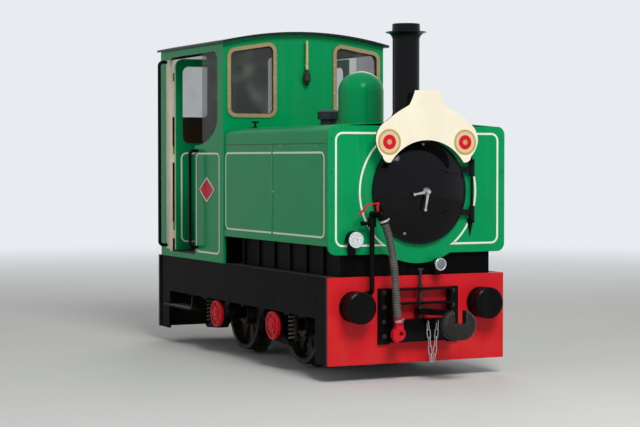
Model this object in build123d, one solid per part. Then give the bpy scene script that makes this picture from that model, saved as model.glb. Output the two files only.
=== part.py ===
"""Narrow gauge diesel locomotive with a steam outline, as separate pieces.

Frame: +X forward, +Y to the locomotive's left, +Z up, in millimetres.
The origin is under the middle, on the floor that the wheel flanges stand on.
"""
from build123d import *
from math import asin, cos, radians, sin, sqrt, tan
import os

os.makedirs("parts", exist_ok=True)

# Wheels
TREAD_R = 260.0
FLANGE_DEPTH = 20.0
WHEEL_BACK_Y = 280.0
WHEEL_W = 115.0
FLANGE_T = 24.0
WHEEL_WEB_T = 26.0
RIM_DEPTH = 38.0
HUB_WALL = 34.0
WHEEL_SLOTS = 8
SLOT_IN_R = 13.0
SLOT_OUT_R = 32.0
AXLE_R = 45.0
JOURNAL_R = 32.0
JOURNAL_PLAY = 0.3
JOURNAL_END_GAP = 8.0
AXLE_FRONT_X = 608.0
WHEELBASE = 933.0
MOVING_GAP = 6.0
RUB_GAP = 0.3

# Heights of the rail head and of the axles above the floor
RAIL = FLANGE_DEPTH
AXLE_Z = RAIL + TREAD_R

# Buffer beams, deck and frame plates
BEAM_FACE_X = 1420.0
BEAM_T = 25.0
BODY_HALF_W = 610.0
DECK_INSET = 4.0
FRAME_INSET = 10.0
BEAM_BOTTOM = RAIL + 83.0
DECK_TOP = RAIL + 612.0
DECK_T = 10.0
DECK_HALF_W = BODY_HALF_W - DECK_INSET
FRAME_OUTER_Y = BODY_HALF_W - FRAME_INSET
FRAME_T = 15.0
FRAME_BOTTOM = RAIL + 356.0
LEG_W = 165.0
STRETCHER_T = 12.0
STRETCHER_GAP = 90.0

# Suspension arms, axleboxes and springs
ARM_INSET = 27.0
ARM_OUTER_Y = BODY_HALF_W - ARM_INSET
ARM_T = 62.0
BOX_R = 84.0
EYE_R = 26.0
COVER_R = 89.0
COVER_T = 18.0
COVER_RIM_W = 14.0
COVER_RIM_T = 8.0
COVER_BOSS_R = 50.0
COVER_HUB_R = 26.0
PIVOT_DX = 180.0
PIVOT_DZ = 58.0
SPRING_DX = 210.0
SPRING_SEAT_DZ = -88.0
SPRING_R = 34.0
SPRING_WIRE_R = 7.0
SPRING_TURNS = 6
SPRING_SIDES = 16

# Power unit blocks
ENGINE_REAR_X = 120.0
ENGINE_LENGTH = 860.0
ENGINE_HALF_W = 210.0
ENGINE_H = 618.0
GEARBOX_REAR_X = 10.0
GEARBOX_LENGTH = 252.0
GEARBOX_HALF_W = 190.0
GEARBOX_H = 432.0
GEARBOX_GAP = 70.0

# Bonnet, lower hood and front plate
BONNET_REAR_X = -180.0
BONNET_INSET = 10.0
BONNET_HALF_W = BODY_HALF_W - BONNET_INSET
BONNET_BOTTOM = RAIL + 797.0
BONNET_H = 720.0
BONNET_SHOULDER = BONNET_BOTTOM + BONNET_H
BONNET_CROWN = 23.0
BONNET_CORNER_R = 42.0
SHEET_T = 5.0
FOOT_BAND_H = 43.0
FOOT_BAND_T = 5.0
HOOD_INSET = 94.0
HOOD_HALF_W = BODY_HALF_W - HOOD_INSET
HOOD_REAR_SETBACK = 100.0
HOOD_REAR_X = BONNET_REAR_X + HOOD_REAR_SETBACK
HOOD_SETBACK = 20.0
HOOD_FRONT_X = BEAM_FACE_X - HOOD_SETBACK
HOOD_FIRST_RIB = 250.0
HOOD_RIB_W = 46.0
HOOD_RIB_T = 12.0
HOOD_RIB_PITCH = 240.0
PLATE_PROUD = 10.0
PLATE_FACE_X = BEAM_FACE_X + PLATE_PROUD
PLATE_T = 15.0
PLATE_DROP = 52.0
PLATE_BOTTOM = BONNET_BOTTOM - PLATE_DROP
PLATE_CORNER_R = 52.0
BOILER_Z = RAIL + 1120.0
LOBE_R = 435.0
DOORWAY_R = 285.0
RADIATOR_T = 60.0
RADIATOR_BACK = 80.0
RADIATOR_HALF_W = 330.0
RADIATOR_TOP_GAP = 77.0
RADIATOR_FOOT_H = 160.0
RADIATOR_FOOT_Y = 280.0
RADIATOR_FOOT_W = 40.0

# Smokebox door
SMOKE_R = 320.0
SMOKE_RIM_T = 22.0
SMOKE_RIM_W = 14.0
SMOKE_DISH = 70.0
SMOKE_HINGE_X = PLATE_FACE_X + 26.0
SMOKE_HINGE_GAP = 40.0
SMOKE_HINGE_Y = SMOKE_R + SMOKE_HINGE_GAP
HINGE_ROD_R = 8.0
HINGE_EYE_R = 17.0
STRAP_H = 36.0
STRAP_EYE_H = 80.0
STRAP_T = 7.0
STRAP_DZ = 130.0
STRAP_TIP_Y = 120.0
HINGE_TAIL_H = 108.0
HUB_R = 25.0
HUB_L = 40.0
HAND_T = 9.0

# Headboard
BOARD_T = 10.0
BOARD_REACH = 112.0
BOARD_FRONT_X = PLATE_FACE_X + BOARD_REACH
BOARD_ARCH_RISE = 10.0
BOARD_ARCH_R = 300.0
STAY_W = 44.0
STAY_T = 12.0
STAY_UP = 125.0

# Boiler mountings
CHIMNEY_X = 1270.0
CHIMNEY_R = 83.0
CHIMNEY_FOOT_W = 34.0
CHIMNEY_FOOT_H = 78.0
CHIMNEY_RIM_R = 125.0
CHIMNEY_FLARE_H = 44.0
CHIMNEY_RIM_H = 573.0
CHIMNEY_TOP_H = 54.0
CHIMNEY_WALL = 15.0
CHIMNEY_BORE = 120.0
DOME_X = 665.0
DOME_R = 147.0
DOME_STRAIGHT_H = 232.0
DOME_RISE = 133.0
DOME_BASE_W = 20.0
DOME_BASE_H = 12.0
FILLER_X = 200.0
FILLER_R = 78.0
FILLER_NECK_R = 58.0
FILLER_H = 125.0
FILLER_CAP_H = 60.0
FOOT_SINK = 6.0
WHISTLE_REACH = 34.0
WHISTLE_H = 303.0
WHISTLE_PIPE_R = 11.0
WHISTLE_PIPE_L = 200.0
WHISTLE_BODY_R = 26.0

# Cab
CAB_TO_BEAM = 60.0
CAB_REAR_X = CAB_TO_BEAM - BEAM_FACE_X
WALL_T = 20.0
EAVES_Z = RAIL + 2112.0
ROOF_RISE = 75.0
EAVES_REACH = 22.0
ROOF_HALF_W = BODY_HALF_W + EAVES_REACH
ROOF_T = 15.0
ROOF_REAR_REACH = 20.0
ROOF_FRONT_REACH = 50.0
ROOF_REAR_X = CAB_REAR_X - ROOF_REAR_REACH
ROOF_FRONT_X = BONNET_REAR_X + ROOF_FRONT_REACH
FLOOR_T = 36.0
FLOOR_TOP = DECK_TOP + FLOOR_T
REAR_POST_W = 180.0
DOORWAY_REAR_X = CAB_REAR_X + REAR_POST_W
DOORWAY_FRONT_X = -695.0
DOORWAY_TOP = RAIL + 2050.0
DOORWAY_CORNER_R = 70.0
SIDE_SHEET_TOP = RAIL + 1410.0
FRONT_POST_W = 100.0
SIDELIGHT_FRONT_X = BONNET_REAR_X - FRONT_POST_W
SIDELIGHT_SILL_Z = RAIL + 1600.0
PANE_REAR_X = -570.0
PANE_T = 6.0
DOOR_T = 25.0
DOOR_GAP = 5.0
DOOR_KNUCKLE_R = 7.0
DOOR_WINDOW_SILL = RAIL + 1430.0
DOOR_WINDOW_RIM = 55.0
WINDOW_INNER_Y = 214.0
WINDOW_INSET = 28.0
WINDOW_OUTER_Y = BODY_HALF_W - WINDOW_INSET
WINDOW_SILL = RAIL + 1597.0
WINDOW_TOP_OUTER = RAIL + 2062.0
WINDOW_TOP_INNER = RAIL + 2122.0
WINDOW_CORNER_R = 64.0
WINDOW_RIM = 28.0
WINDOW_PROUD = 8.0
DESK_DEPTH = 190.0
DESK_TOP_DEPTH = 70.0
DESK_H = 880.0
DESK_SLOPE_H = 100.0
DESK_HALF_W = 430.0
STOOL_X = -760.0
STOOL_H = 435.0
STOOL_FOOT_R = 110.0
STOOL_TUBE_R = 28.0
STOOL_SEAT_R = 150.0
STOOL_SEAT_T = 55.0

# Buffers and draw gear
BUFFER_INSET = 170.0
BUFFER_Y = BODY_HALF_W - BUFFER_INSET
BUFFER_Z = RAIL + 434.0
BUFFER_HEAD_R = 97.0
BUFFER_FACE = 122.0
BUFFER_HEAD_T = 65.0
BUFFER_LIP = 6.0
BUFFER_FACE_LIP = 10.0
BUFFER_BACK_LIP = 4.0
BUFFER_BASE_W = 10.0
BUFFER_BASE_T = 10.0
HOUSING_R = 84.0
POCKET_HALF_W = 276.0
POCKET_FLANGE_W = 78.0
POCKET_FLANGE_T = 16.0
POCKET_TOP = RAIL + 539.0
POCKET_BOTTOM = RAIL + 214.0
POCKET_DEPTH = 62.0
SHELF_T = 14.0
SHELF_MID_Z = RAIL + 453.0
SHELF_LOW_Z = RAIL + 351.0
DRAWBAR_T = 34.0
DRAWBAR_L = 229.0
DRAWBAR_Z = RAIL + 395.0
DRAWBAR_EYE_R = 34.0
DRAWBAR_END_R = 30.0
DRAWBAR_SWING = 27.0
PIN_X = 36.0
PIN_R = 14.0
PIN_NECK_R = 9.0
PIN_TOP = RAIL + 648.0
PIN_HANDLE_R = 8.0
PIN_HANDLE_HALF = 17.0
HEAD_HALF_W = 115.0
HEAD_HALF_H = 90.0
HEAD_DEPTH = 52.0
HEAD_Z = RAIL + 329.0
HEAD_FRONT_EDGE = 14.0
HEAD_BACK_EDGE = 8.0
HEAD_SLOT_W = 80.0
HEAD_SLOT_FOOT = 6.0
TAIL_T = 36.0
TAIL_L = 50.0
TAIL_GAP = 1.0
TAIL_PIN_FOOT = 14.0
TAIL_PIN_BOSS_R = 21.0
TAIL_EYE_R = 30.0

# Lamps, standpipe and hose
LAMP_Y = -458.0
LAMP_Z = RAIL + 838.0
LAMP_R = 52.0
LAMP_STUB_L = 22.0
LAMP_BODY_L = 40.0
LENS_T = 8.0
SPOT_Y = 112.0
SPOT_Z = RAIL + 679.0
SPOT_R = 37.0
PIPE_R = 15.0
PIPE_X = 60.0
PIPE_Y = -343.0
PIPE_LOW_Z = RAIL + 512.0
PIPE_TOP = RAIL + 912.0
PIPE_BEND_R = 34.0
VALVE_R = 26.0
VALVE_H = 56.0
KNOB_Z = RAIL + 934.0
KNOB_Y = -396.0
KNOB_R = 15.0
KNOB_T = 18.0
KNOB_STEM_R = 10.0
ARCH_R = 19.0
ARCH_Z = RAIL + 988.0
LEVER_Y = -324.0
LEVER_Z = RAIL + 1048.0
LEVER_FLAT_L = 62.0
LEVER_DROP = 70.0
LEVER_REACH = 124.0
LEVER_BEND_R = 45.0
LEVER_W = 16.0
LEVER_T = 8.0
HOSE_R = 24.0
COLLAR_R = 27.0
COLLAR_L = 34.0
HOOK_R = 41.0
HOOK_HOLE_R = 14.0
HOOK_T = 34.0
HOOK_AWAY = -20.0
HOOK_DROP = 60.0
HOOK_ARMS = (
    # one end and the other (across, below the collar), and the radius at each
    ((0, -8), (-14, 46), 19, 26),
    ((-52, 66), (-42, 100), 12, 10),
)

# Steps and handrails
STEP_SETBACK = 60.0
STEP_SHORT = 75.0
STEP_REAR_X = CAB_REAR_X + STEP_SETBACK
STEP_FRONT_X = DOORWAY_FRONT_X - STEP_SHORT
STEP_Z = RAIL + 260.0
STEP_T = 12.0
STEP_REACH = 10.0
STEP_OUTER_Y = BODY_HALF_W + STEP_REACH
STEP_DEPTH = 125.0
RAIL_BAR_R = 12.0
RAIL_STANDOFF = 58.0


def slab(x0, x1, y0, y1, z0, z1):
    """A block between two corners."""
    size = (abs(x1 - x0), abs(y1 - y0), abs(z1 - z0))
    return Pos((x0 + x1) / 2, (y0 + y1) / 2, (z0 + z1) / 2) * Box(*size)


def rod_y(x, z, r, y0, y1):
    """A round bar across the locomotive."""
    return Pos(x, (y0 + y1) / 2, z) * Rot(90, 0, 0) * Cylinder(r, abs(y1 - y0))


def rod_x(y, z, r, x0, x1):
    """A round bar along the locomotive."""
    return Pos((x0 + x1) / 2, y, z) * Rot(0, 90, 0) * Cylinder(r, abs(x1 - x0))


def rod_z(x, y, r, z0, z1):
    """An upright round bar."""
    return Pos(x, y, (z0 + z1) / 2) * Cylinder(r, abs(z1 - z0))


def plate_xz(face, y_low, thickness):
    """An upright plate along the locomotive, from an outline in X and Z."""
    return extrude(Plane.XZ.offset(-y_low) * face, -thickness)


def plate_yz(face, x_low, thickness):
    """An upright plate across the locomotive, from an outline in Y and Z."""
    return extrude(Plane.YZ.offset(x_low) * face, thickness)


def outline(*edges):
    """A flat face inside joined edges."""
    return make_face(Wire(edges))


def poly(points):
    """A flat face inside straight edges."""
    return make_face(Polyline(*points, close=True))


def link(a, b, r_a, r_b):
    """A tapered link outline around two round ends."""
    (xa, za), (xb, zb) = a, b
    rings = [Pos(xa, za) * CenterArc((0, 0), r_a, 0, 360), Pos(xb, zb) * CenterArc((0, 0), r_b, 0, 360)]
    return make_hull([edge for ring in rings for edge in ring.edges()])


def other_side(shape):
    """The same shape on the locomotive's other side."""
    return mirror(shape, Plane.XZ)


def pair(shape):
    """A shape and its mirror image across the locomotive."""
    return [shape, other_side(shape)]


def other_end(shape):
    """The same shape turned round for the other end."""
    return Rot(0, 0, 180) * shape


def end_piece(shape, end):
    """A front piece, turned round for the rear."""
    return shape if end > 0 else other_end(shape)


def save(node, shapes):
    """Writes one node from one or more solids."""
    shapes = shapes if isinstance(shapes, list) else [shapes]
    solids = [solid for shape in shapes for solid in shape.solids()]
    body = solids[0] if len(solids) == 1 else Compound(children=solids)
    export_step(body, f"parts/{node}.step")


BEAM_BACK = BEAM_FACE_X - BEAM_T
AXLE_XS = (AXLE_FRONT_X, AXLE_FRONT_X - WHEELBASE)


# Frame

def beam(end):
    """One buffer beam."""
    return slab(end * BEAM_BACK, end * BEAM_FACE_X, -BODY_HALF_W, BODY_HALF_W, BEAM_BOTTOM, DECK_TOP)


def frame_plate():
    """A side frame plate with a leg down to the beam's foot at each end."""
    top = DECK_TOP - DECK_T
    leg = BEAM_BACK - LEG_W
    half = [(0, FRAME_BOTTOM), (leg, FRAME_BOTTOM), (leg, BEAM_BOTTOM),
            (BEAM_BACK, BEAM_BOTTOM), (BEAM_BACK, top)]
    points = half + [(-x, z) for x, z in reversed(half)][:-1]
    return plate_xz(poly(points), FRAME_OUTER_Y - FRAME_T, FRAME_T)


def stretchers():
    """Cross plates between the frame plates."""
    inner = FRAME_OUTER_Y - FRAME_T
    reach = TREAD_R + STRETCHER_GAP
    gaps = (AXLE_XS[0] + reach, GEARBOX_REAR_X + GEARBOX_LENGTH + GEARBOX_GAP, AXLE_XS[1] - reach)
    return [slab(x, x + STRETCHER_T, -inner, inner, FRAME_BOTTOM, DECK_TOP - DECK_T) for x in gaps]


save("buffer_beams", [beam(1), beam(-1)])
save("frame_plates", pair(frame_plate()))
save("frame_stretchers", stretchers())
save("deck", slab(-BEAM_BACK, BEAM_BACK, -DECK_HALF_W, DECK_HALF_W, DECK_TOP - DECK_T, DECK_TOP))


# Wheelsets

def wheel_profile():
    """Half section of one wheel: (distance from the middle, radius)."""
    out = WHEEL_BACK_Y + WHEEL_W
    mid = WHEEL_BACK_Y + WHEEL_W / 2
    web = mid - WHEEL_WEB_T
    flange_r = TREAD_R + FLANGE_DEPTH
    rim_r = TREAD_R - RIM_DEPTH
    hub_r = AXLE_R + HUB_WALL
    return [
        (WHEEL_BACK_Y, AXLE_R), (WHEEL_BACK_Y, hub_r), (web, hub_r), (web, rim_r),
        (WHEEL_BACK_Y, rim_r), (WHEEL_BACK_Y, flange_r - 6),
        (WHEEL_BACK_Y + 6, flange_r), (WHEEL_BACK_Y + 14, flange_r),
        (WHEEL_BACK_Y + FLANGE_T, TREAD_R + 2), (WHEEL_BACK_Y + FLANGE_T + 8, TREAD_R),
        (out - 6, TREAD_R - 4), (out, TREAD_R - 9), (out, rim_r), (mid, rim_r - 6), (mid, hub_r + 4),
        (out, hub_r), (out, AXLE_R),
    ]


def wheels(x):
    """The two wheels of one axle, with tapered slots through their webs."""
    wheel = revolve(Plane.YZ * poly(wheel_profile()), Axis.Y)
    inner = AXLE_R + HUB_WALL + SLOT_IN_R + 12
    outer = TREAD_R - RIM_DEPTH - SLOT_OUT_R - 10
    slot = plate_xz(link((inner, 0), (outer, 0), SLOT_IN_R, SLOT_OUT_R), WHEEL_BACK_Y, WHEEL_W)
    for i in range(WHEEL_SLOTS):
        wheel -= Rot(0, 360 / WHEEL_SLOTS * (i + 0.5), 0) * slot
    return [Pos(x, 0, AXLE_Z) * one for one in pair(wheel)]


def axle(x):
    """One axle with its shoulders and journals."""
    out = WHEEL_BACK_Y + WHEEL_W
    shoulder = ARM_OUTER_Y - ARM_T - MOVING_GAP
    end = ARM_OUTER_Y - JOURNAL_END_GAP
    points = [(0, 0), (0, AXLE_R), (out, AXLE_R), (out, JOURNAL_R + 8), (shoulder, JOURNAL_R + 8),
              (shoulder, JOURNAL_R), (end, JOURNAL_R), (end, 0)]
    half = revolve(Plane.YZ * poly(points), Axis.Y)
    return Pos(x, 0, AXLE_Z) * (half + other_side(half))


for name, x in zip(("front", "rear"), AXLE_XS):
    save(f"{name}_wheelset", wheels(x))
    save(f"{name}_axle", axle(x))


# Suspension arms, outside the wheels, leading to a spring at the outer side of each axle

def corner_arm(x, way):
    """One arm: pivot eye, axlebox and spring seat."""
    pivot = (x - way * PIVOT_DX, AXLE_Z + PIVOT_DZ)
    seat = (x + way * SPRING_DX, AXLE_Z + SPRING_SEAT_DZ)
    low = (x, AXLE_Z + SPRING_SEAT_DZ + 30)
    face = link((x, AXLE_Z), pivot, BOX_R - 14, EYE_R) + Pos(x, AXLE_Z) * Circle(BOX_R)
    face += link(low, (seat[0], seat[1] - 12), 40, 12)
    arm = plate_xz(face, ARM_OUTER_Y - ARM_T, ARM_T)
    mid_y = ARM_OUTER_Y - ARM_T / 2
    arm += rod_z(seat[0], mid_y, SPRING_R + 6, seat[1] - 12, seat[1])
    bore_end = ARM_OUTER_Y - JOURNAL_END_GAP + 0.5
    arm -= rod_y(x, AXLE_Z, JOURNAL_R + JOURNAL_PLAY, ARM_OUTER_Y - ARM_T - 1, bore_end)
    arm -= rod_y(pivot[0], pivot[1], 12, 0, ARM_OUTER_Y + 1)
    return arm - rod_z(seat[0], mid_y, SPRING_R + 3, seat[1], seat[1] + 200)


def pivot_bracket(x, way):
    """A hanging bracket with two cheeks and the pin that carries the arm's eye."""
    px, pz = x - way * PIVOT_DX, AXLE_Z + PIVOT_DZ
    inner, outer = ARM_OUTER_Y - ARM_T, ARM_OUTER_Y
    cheek = link((px, pz), (px, FRAME_BOTTOM - 30), 24, 30)
    body = plate_xz(cheek, inner - 12, 12) + plate_xz(cheek, outer, 12)
    body += slab(px - 40, px + 40, inner - 12, outer + 12, FRAME_BOTTOM - 12, FRAME_BOTTOM)
    body -= slab(px - 60, px + 60, inner - 30, outer + 30, FRAME_BOTTOM, FRAME_BOTTOM + 60)
    return body + rod_y(px, pz, 12, inner - 20, outer + 20)


def coil_spring(x, y, z0, z1):
    """A coil spring as closed flat-sided turns on its guide tube."""
    pitch = (z1 - z0) / SPRING_TURNS
    core = extrude(RegularPolygon(SPRING_R - 2 * SPRING_WIRE_R, SPRING_SIDES), z1 - z0)
    spring = Pos(0, 0, z0) * core
    turn = extrude(RegularPolygon(SPRING_R - 1, SPRING_SIDES), 2 * SPRING_WIRE_R)
    turn = chamfer(turn.edges().filter_by(Axis.Z, reverse=True), SPRING_WIRE_R * 0.6)
    for i in range(SPRING_TURNS):
        spring += Pos(0, 0, z0 + pitch * (i + 0.5) - SPRING_WIRE_R) * turn
    return Pos(x, y, 0) * spring


CORNERS = [(x, way) for x, way in zip(AXLE_XS, (1, -1))]
arms, brackets, springs, covers = [], [], [], []
for x, way in CORNERS:
    seat_x = x + way * SPRING_DX
    mid_y = ARM_OUTER_Y - ARM_T / 2
    face_y = ARM_OUTER_Y + COVER_T
    cover = rod_y(x, AXLE_Z, COVER_R, ARM_OUTER_Y, face_y + COVER_RIM_T)
    cover -= rod_y(x, AXLE_Z, COVER_R - COVER_RIM_W, face_y, face_y + COVER_RIM_T + 1)
    cover += rod_y(x, AXLE_Z, COVER_BOSS_R, face_y, face_y + COVER_RIM_T)
    cover += rod_y(x, AXLE_Z, COVER_HUB_R, face_y, face_y + 2 * COVER_RIM_T)
    cup = rod_z(seat_x, mid_y, SPRING_R + 6, FRAME_BOTTOM - 12, FRAME_BOTTOM)
    cup += slab(seat_x - 40, seat_x + 40, mid_y, FRAME_OUTER_Y, FRAME_BOTTOM - 12, FRAME_BOTTOM)
    coil = coil_spring(seat_x, mid_y, AXLE_Z + SPRING_SEAT_DZ, FRAME_BOTTOM - 12)
    arms += pair(corner_arm(x, way))
    brackets += pair(pivot_bracket(x, way)) + pair(cup)
    springs += pair(coil)
    covers += pair(cover)
save("axlebox_arms", arms)
save("axlebox_covers", covers)
save("arm_brackets", brackets)
save("coil_springs", springs)


# Brake blocks and their hangers, on the inner side of each wheel

def brake_gear(x, way):
    """Two blocks, their hangers and the cross bar of one wheelset."""
    tread_y = WHEEL_BACK_Y + WHEEL_W / 2 + 14
    r_in = TREAD_R + MOVING_GAP
    ring = Circle(r_in + 34) - Circle(r_in)
    wedge = Polyline((0, 0), (-600, 190), (-600, -190), close=True)
    shoe = plate_xz(ring & make_face(wedge), tread_y - 32, 64)
    bar_x = -(r_in + 34 + 12)
    hanger = slab(bar_x - 8, bar_x + 12, tread_y - 8, tread_y + 8, -20, DECK_TOP - DECK_T - AXLE_Z)
    one = shoe + hanger
    bar = rod_y(bar_x, 0, 15, -tread_y, tread_y)
    gear = one + other_side(one) + bar
    gear = gear if way > 0 else Rot(0, 0, 180) * gear
    return Pos(x, 0, AXLE_Z) * gear


save("brake_gear", [brake_gear(x, way) for x, way in CORNERS])


# Power unit blocks

under_deck = DECK_TOP - DECK_T
save("engine_block", slab(ENGINE_REAR_X, ENGINE_REAR_X + ENGINE_LENGTH, -ENGINE_HALF_W, ENGINE_HALF_W,
                          DECK_TOP, DECK_TOP + ENGINE_H))
save("transmission", slab(GEARBOX_REAR_X, GEARBOX_REAR_X + GEARBOX_LENGTH, -GEARBOX_HALF_W, GEARBOX_HALF_W,
                          under_deck - GEARBOX_H, under_deck))


# Lower hood, bonnet and front plate

def lower_hood():
    """The narrow black casing under the bonnet, with upright ribs."""
    outer = slab(HOOD_REAR_X, HOOD_FRONT_X, -HOOD_HALF_W, HOOD_HALF_W, DECK_TOP, BONNET_BOTTOM)
    inner = slab(HOOD_REAR_X - 1, HOOD_FRONT_X - SHEET_T, -HOOD_HALF_W + SHEET_T, HOOD_HALF_W - SHEET_T,
                 DECK_TOP - 1, BONNET_BOTTOM + 1)
    hood = outer - inner
    x = HOOD_FRONT_X - HOOD_FIRST_RIB
    while x > HOOD_REAR_X:
        for side in (1, -1):
            y0 = side * HOOD_HALF_W
            hood += slab(x, x + HOOD_RIB_W, y0, y0 + side * HOOD_RIB_T, DECK_TOP, BONNET_BOTTOM)
        x -= HOOD_RIB_PITCH
    return hood


def bonnet_section(inset):
    """The bonnet's section in Y and Z, drawn in by an inset."""
    w, r = BONNET_HALF_W - inset, BONNET_CORNER_R - inset
    low, top = BONNET_BOTTOM + inset, BONNET_SHOULDER - inset
    crown = top + BONNET_CROWN
    k = r * (1 - sqrt(0.5))
    left = [
        Line((w, low), (w, top - r)),
        ThreePointArc((w, top - r), (w - k, top - k), (w - r, top)),
    ]
    right = [
        ThreePointArc((-w + r, top), (-w + k, top - k), (-w, top - r)),
        Line((-w, top - r), (-w, low)),
    ]
    over = ThreePointArc((w - r, top), (0, crown), (-w + r, top))
    return outline(*left, over, *right, Line((-w, low), (w, low)))


def bonnet():
    """The wide bonnet: a sheet shell that is open below, with turned-in lower edges."""
    front = PLATE_FACE_X - PLATE_T
    length = front - BONNET_REAR_X
    shell = plate_yz(bonnet_section(0), BONNET_REAR_X, length)
    shell -= plate_yz(bonnet_section(SHEET_T), BONNET_REAR_X - 1, length + 2)
    for side in (1, -1):
        y = side * BONNET_HALF_W
        shell += slab(BONNET_REAR_X, front, y, y + side * FOOT_BAND_T, BONNET_BOTTOM,
                      BONNET_BOTTOM + FOOT_BAND_H)
    inner = HOOD_HALF_W - SHEET_T
    return shell - slab(BONNET_REAR_X - 1, front + 1, -inner, inner, BONNET_BOTTOM - 1, BONNET_BOTTOM + 20)


def front_plate():
    """The upright front plate with its round lower lobe and the door's opening."""
    top = BONNET_SHOULDER
    face = Pos(0, (PLATE_BOTTOM + top) / 2) * RectangleRounded(
        2 * BODY_HALF_W, top - PLATE_BOTTOM, PLATE_CORNER_R)
    lobe = Pos(0, BOILER_Z) * Circle(LOBE_R)
    lobe &= Pos(0, BOILER_Z - LOBE_R) * Rectangle(2 * LOBE_R, 2 * LOBE_R)
    face = face + lobe - Pos(0, BOILER_Z) * Circle(DOORWAY_R)
    return plate_yz(face, PLATE_FACE_X - PLATE_T, PLATE_T)


def radiator():
    """The cooling core behind the smokebox door."""
    back = PLATE_FACE_X - PLATE_T - RADIATOR_BACK - RADIATOR_T
    foot_top = DECK_TOP + RADIATOR_FOOT_H
    core = slab(back, back + RADIATOR_T, -RADIATOR_HALF_W, RADIATOR_HALF_W, foot_top,
                BONNET_SHOULDER - RADIATOR_TOP_GAP)
    for y in (-RADIATOR_FOOT_Y, RADIATOR_FOOT_Y):
        half = RADIATOR_FOOT_W / 2
        core += slab(back, back + RADIATOR_T / 2, y - half, y + half, DECK_TOP, foot_top)
    return core


save("lower_hood", lower_hood())
save("bonnet", bonnet())
save("front_plate", front_plate())
save("radiator", radiator())


# Smokebox door with its straps, handles and headboard

def dished(x0, r, rise):
    """A shallow round cap of a ball facing forward, about the boiler's line."""
    ball_r = (r ** 2 + rise ** 2) / (2 * rise)
    half = asin(r / ball_r) / 2
    mid = (rise - ball_r + ball_r * cos(half), ball_r * sin(half))
    cap = outline(Line((0, 0), (0, r)), ThreePointArc((0, r), mid, (rise, 0)), Line((rise, 0), (0, 0)))
    return Pos(x0, 0, BOILER_Z) * revolve(Plane.XZ * cap, Axis.X)


def door_dish(forward=0.0):
    """The ball-shaped front of the smokebox door, moved forward by some distance."""
    return dished(PLATE_FACE_X + RUB_GAP + SMOKE_RIM_T + forward, SMOKE_R - SMOKE_RIM_W, SMOKE_DISH)


def smokebox_door():
    """A dished round door with two hinge straps and their long eyes."""
    x0 = PLATE_FACE_X + RUB_GAP
    x1 = x0 + SMOKE_RIM_T
    edge = SMOKE_R - SMOKE_RIM_W - 6
    door = rod_x(0, BOILER_Z, SMOKE_R, x0, x1) + door_dish()
    for side in (1, -1):
        z = BOILER_Z + side * STRAP_DZ
        low, high = z - STRAP_H / 2, z + STRAP_H / 2
        face = poly([(STRAP_TIP_Y, z), (STRAP_TIP_Y + 60, low), (edge, low), (edge, high),
                     (STRAP_TIP_Y + 60, high)])
        door += plate_yz(face, x1, SMOKE_DISH) & door_dish(STRAP_T)
        door += slab(x1 - 8, x1 + 8, SMOKE_R - 80, SMOKE_HINGE_Y, low, high)
        door += rod_z(SMOKE_HINGE_X, SMOKE_HINGE_Y, HINGE_EYE_R, z - STRAP_EYE_H / 2, z + STRAP_EYE_H / 2)
    bore = HINGE_ROD_R + RUB_GAP
    return door - rod_z(SMOKE_HINGE_X, SMOKE_HINGE_Y, bore, BOILER_Z - SMOKE_R, BOILER_Z + SMOKE_R)


def smokebox_hinge():
    """The fixed rod, and the lugs with pointed tails that hold it on the front plate."""
    lug_h = 24.0
    near = STRAP_DZ + STRAP_EYE_H / 2 + RUB_GAP
    hinge = rod_z(SMOKE_HINGE_X, SMOKE_HINGE_Y, HINGE_ROD_R, BOILER_Z - near - lug_h, BOILER_Z + near + lug_h)
    for side in (1, -1):
        z0, z1 = BOILER_Z + side * near, BOILER_Z + side * (near + lug_h)
        hinge += rod_z(SMOKE_HINGE_X, SMOKE_HINGE_Y, HINGE_EYE_R, z0, z1)
        hinge += slab(PLATE_FACE_X, SMOKE_HINGE_X, SMOKE_HINGE_Y - 12, SMOKE_HINGE_Y + 12, z0, z1)
        tail = poly([(SMOKE_HINGE_Y - 22, z0), (SMOKE_HINGE_Y + 22, z0), (SMOKE_HINGE_Y + 16, z1),
                     (SMOKE_HINGE_Y, z0 + side * HINGE_TAIL_H), (SMOKE_HINGE_Y - 16, z1)])
        hinge += plate_yz(tail, PLATE_FACE_X, 8)
    return hinge


HANDS = (
    # angle about the hub, length, distance in front of the dish
    (190, 88.0, 12.0),
    (260, 110.0, 22.0),
)


def door_handles():
    """The turned hub and the two hands of the smokebox door, one pointing sideways and one down."""
    face_x = PLATE_FACE_X + RUB_GAP + SMOKE_RIM_T + SMOKE_DISH
    cone = [(face_x - 4, 0), (face_x - 4, HUB_R), (face_x + 12, HUB_R), (face_x + HUB_L, HUB_R / 2),
            (face_x + HUB_L, 0)]
    hub = Pos(0, 0, BOILER_Z) * revolve(Plane.XZ * poly(cone), Axis.X)
    for angle, length, ahead in HANDS:
        hand = plate_yz(link((0, 0), (length, 0), 9, 5), face_x + ahead, HAND_T)
        hand += rod_x(length, 0, 9, face_x + ahead - 2, face_x + ahead + HAND_T + 2)
        hub += Pos(0, 0, BOILER_Z) * Rot(angle, 0, 0) * hand
    return hub - door_dish()


BOARD_SIDE = (
    # one side of the board from the tab down to the tip: (Y, height over the boiler's line), end, middle, end
    ((86, 608), (104, 560), (120, 527)),
    ((120, 527), (124, 521), (133, 515)),
    ((133, 515), (213, 469), (286, 418)),
    ((286, 418), (337, 365), (350, 301)),
    ((350, 301), (335, 257), (304, 213)),
    ((304, 213), (284, 182), (249, 0)),
)


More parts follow.
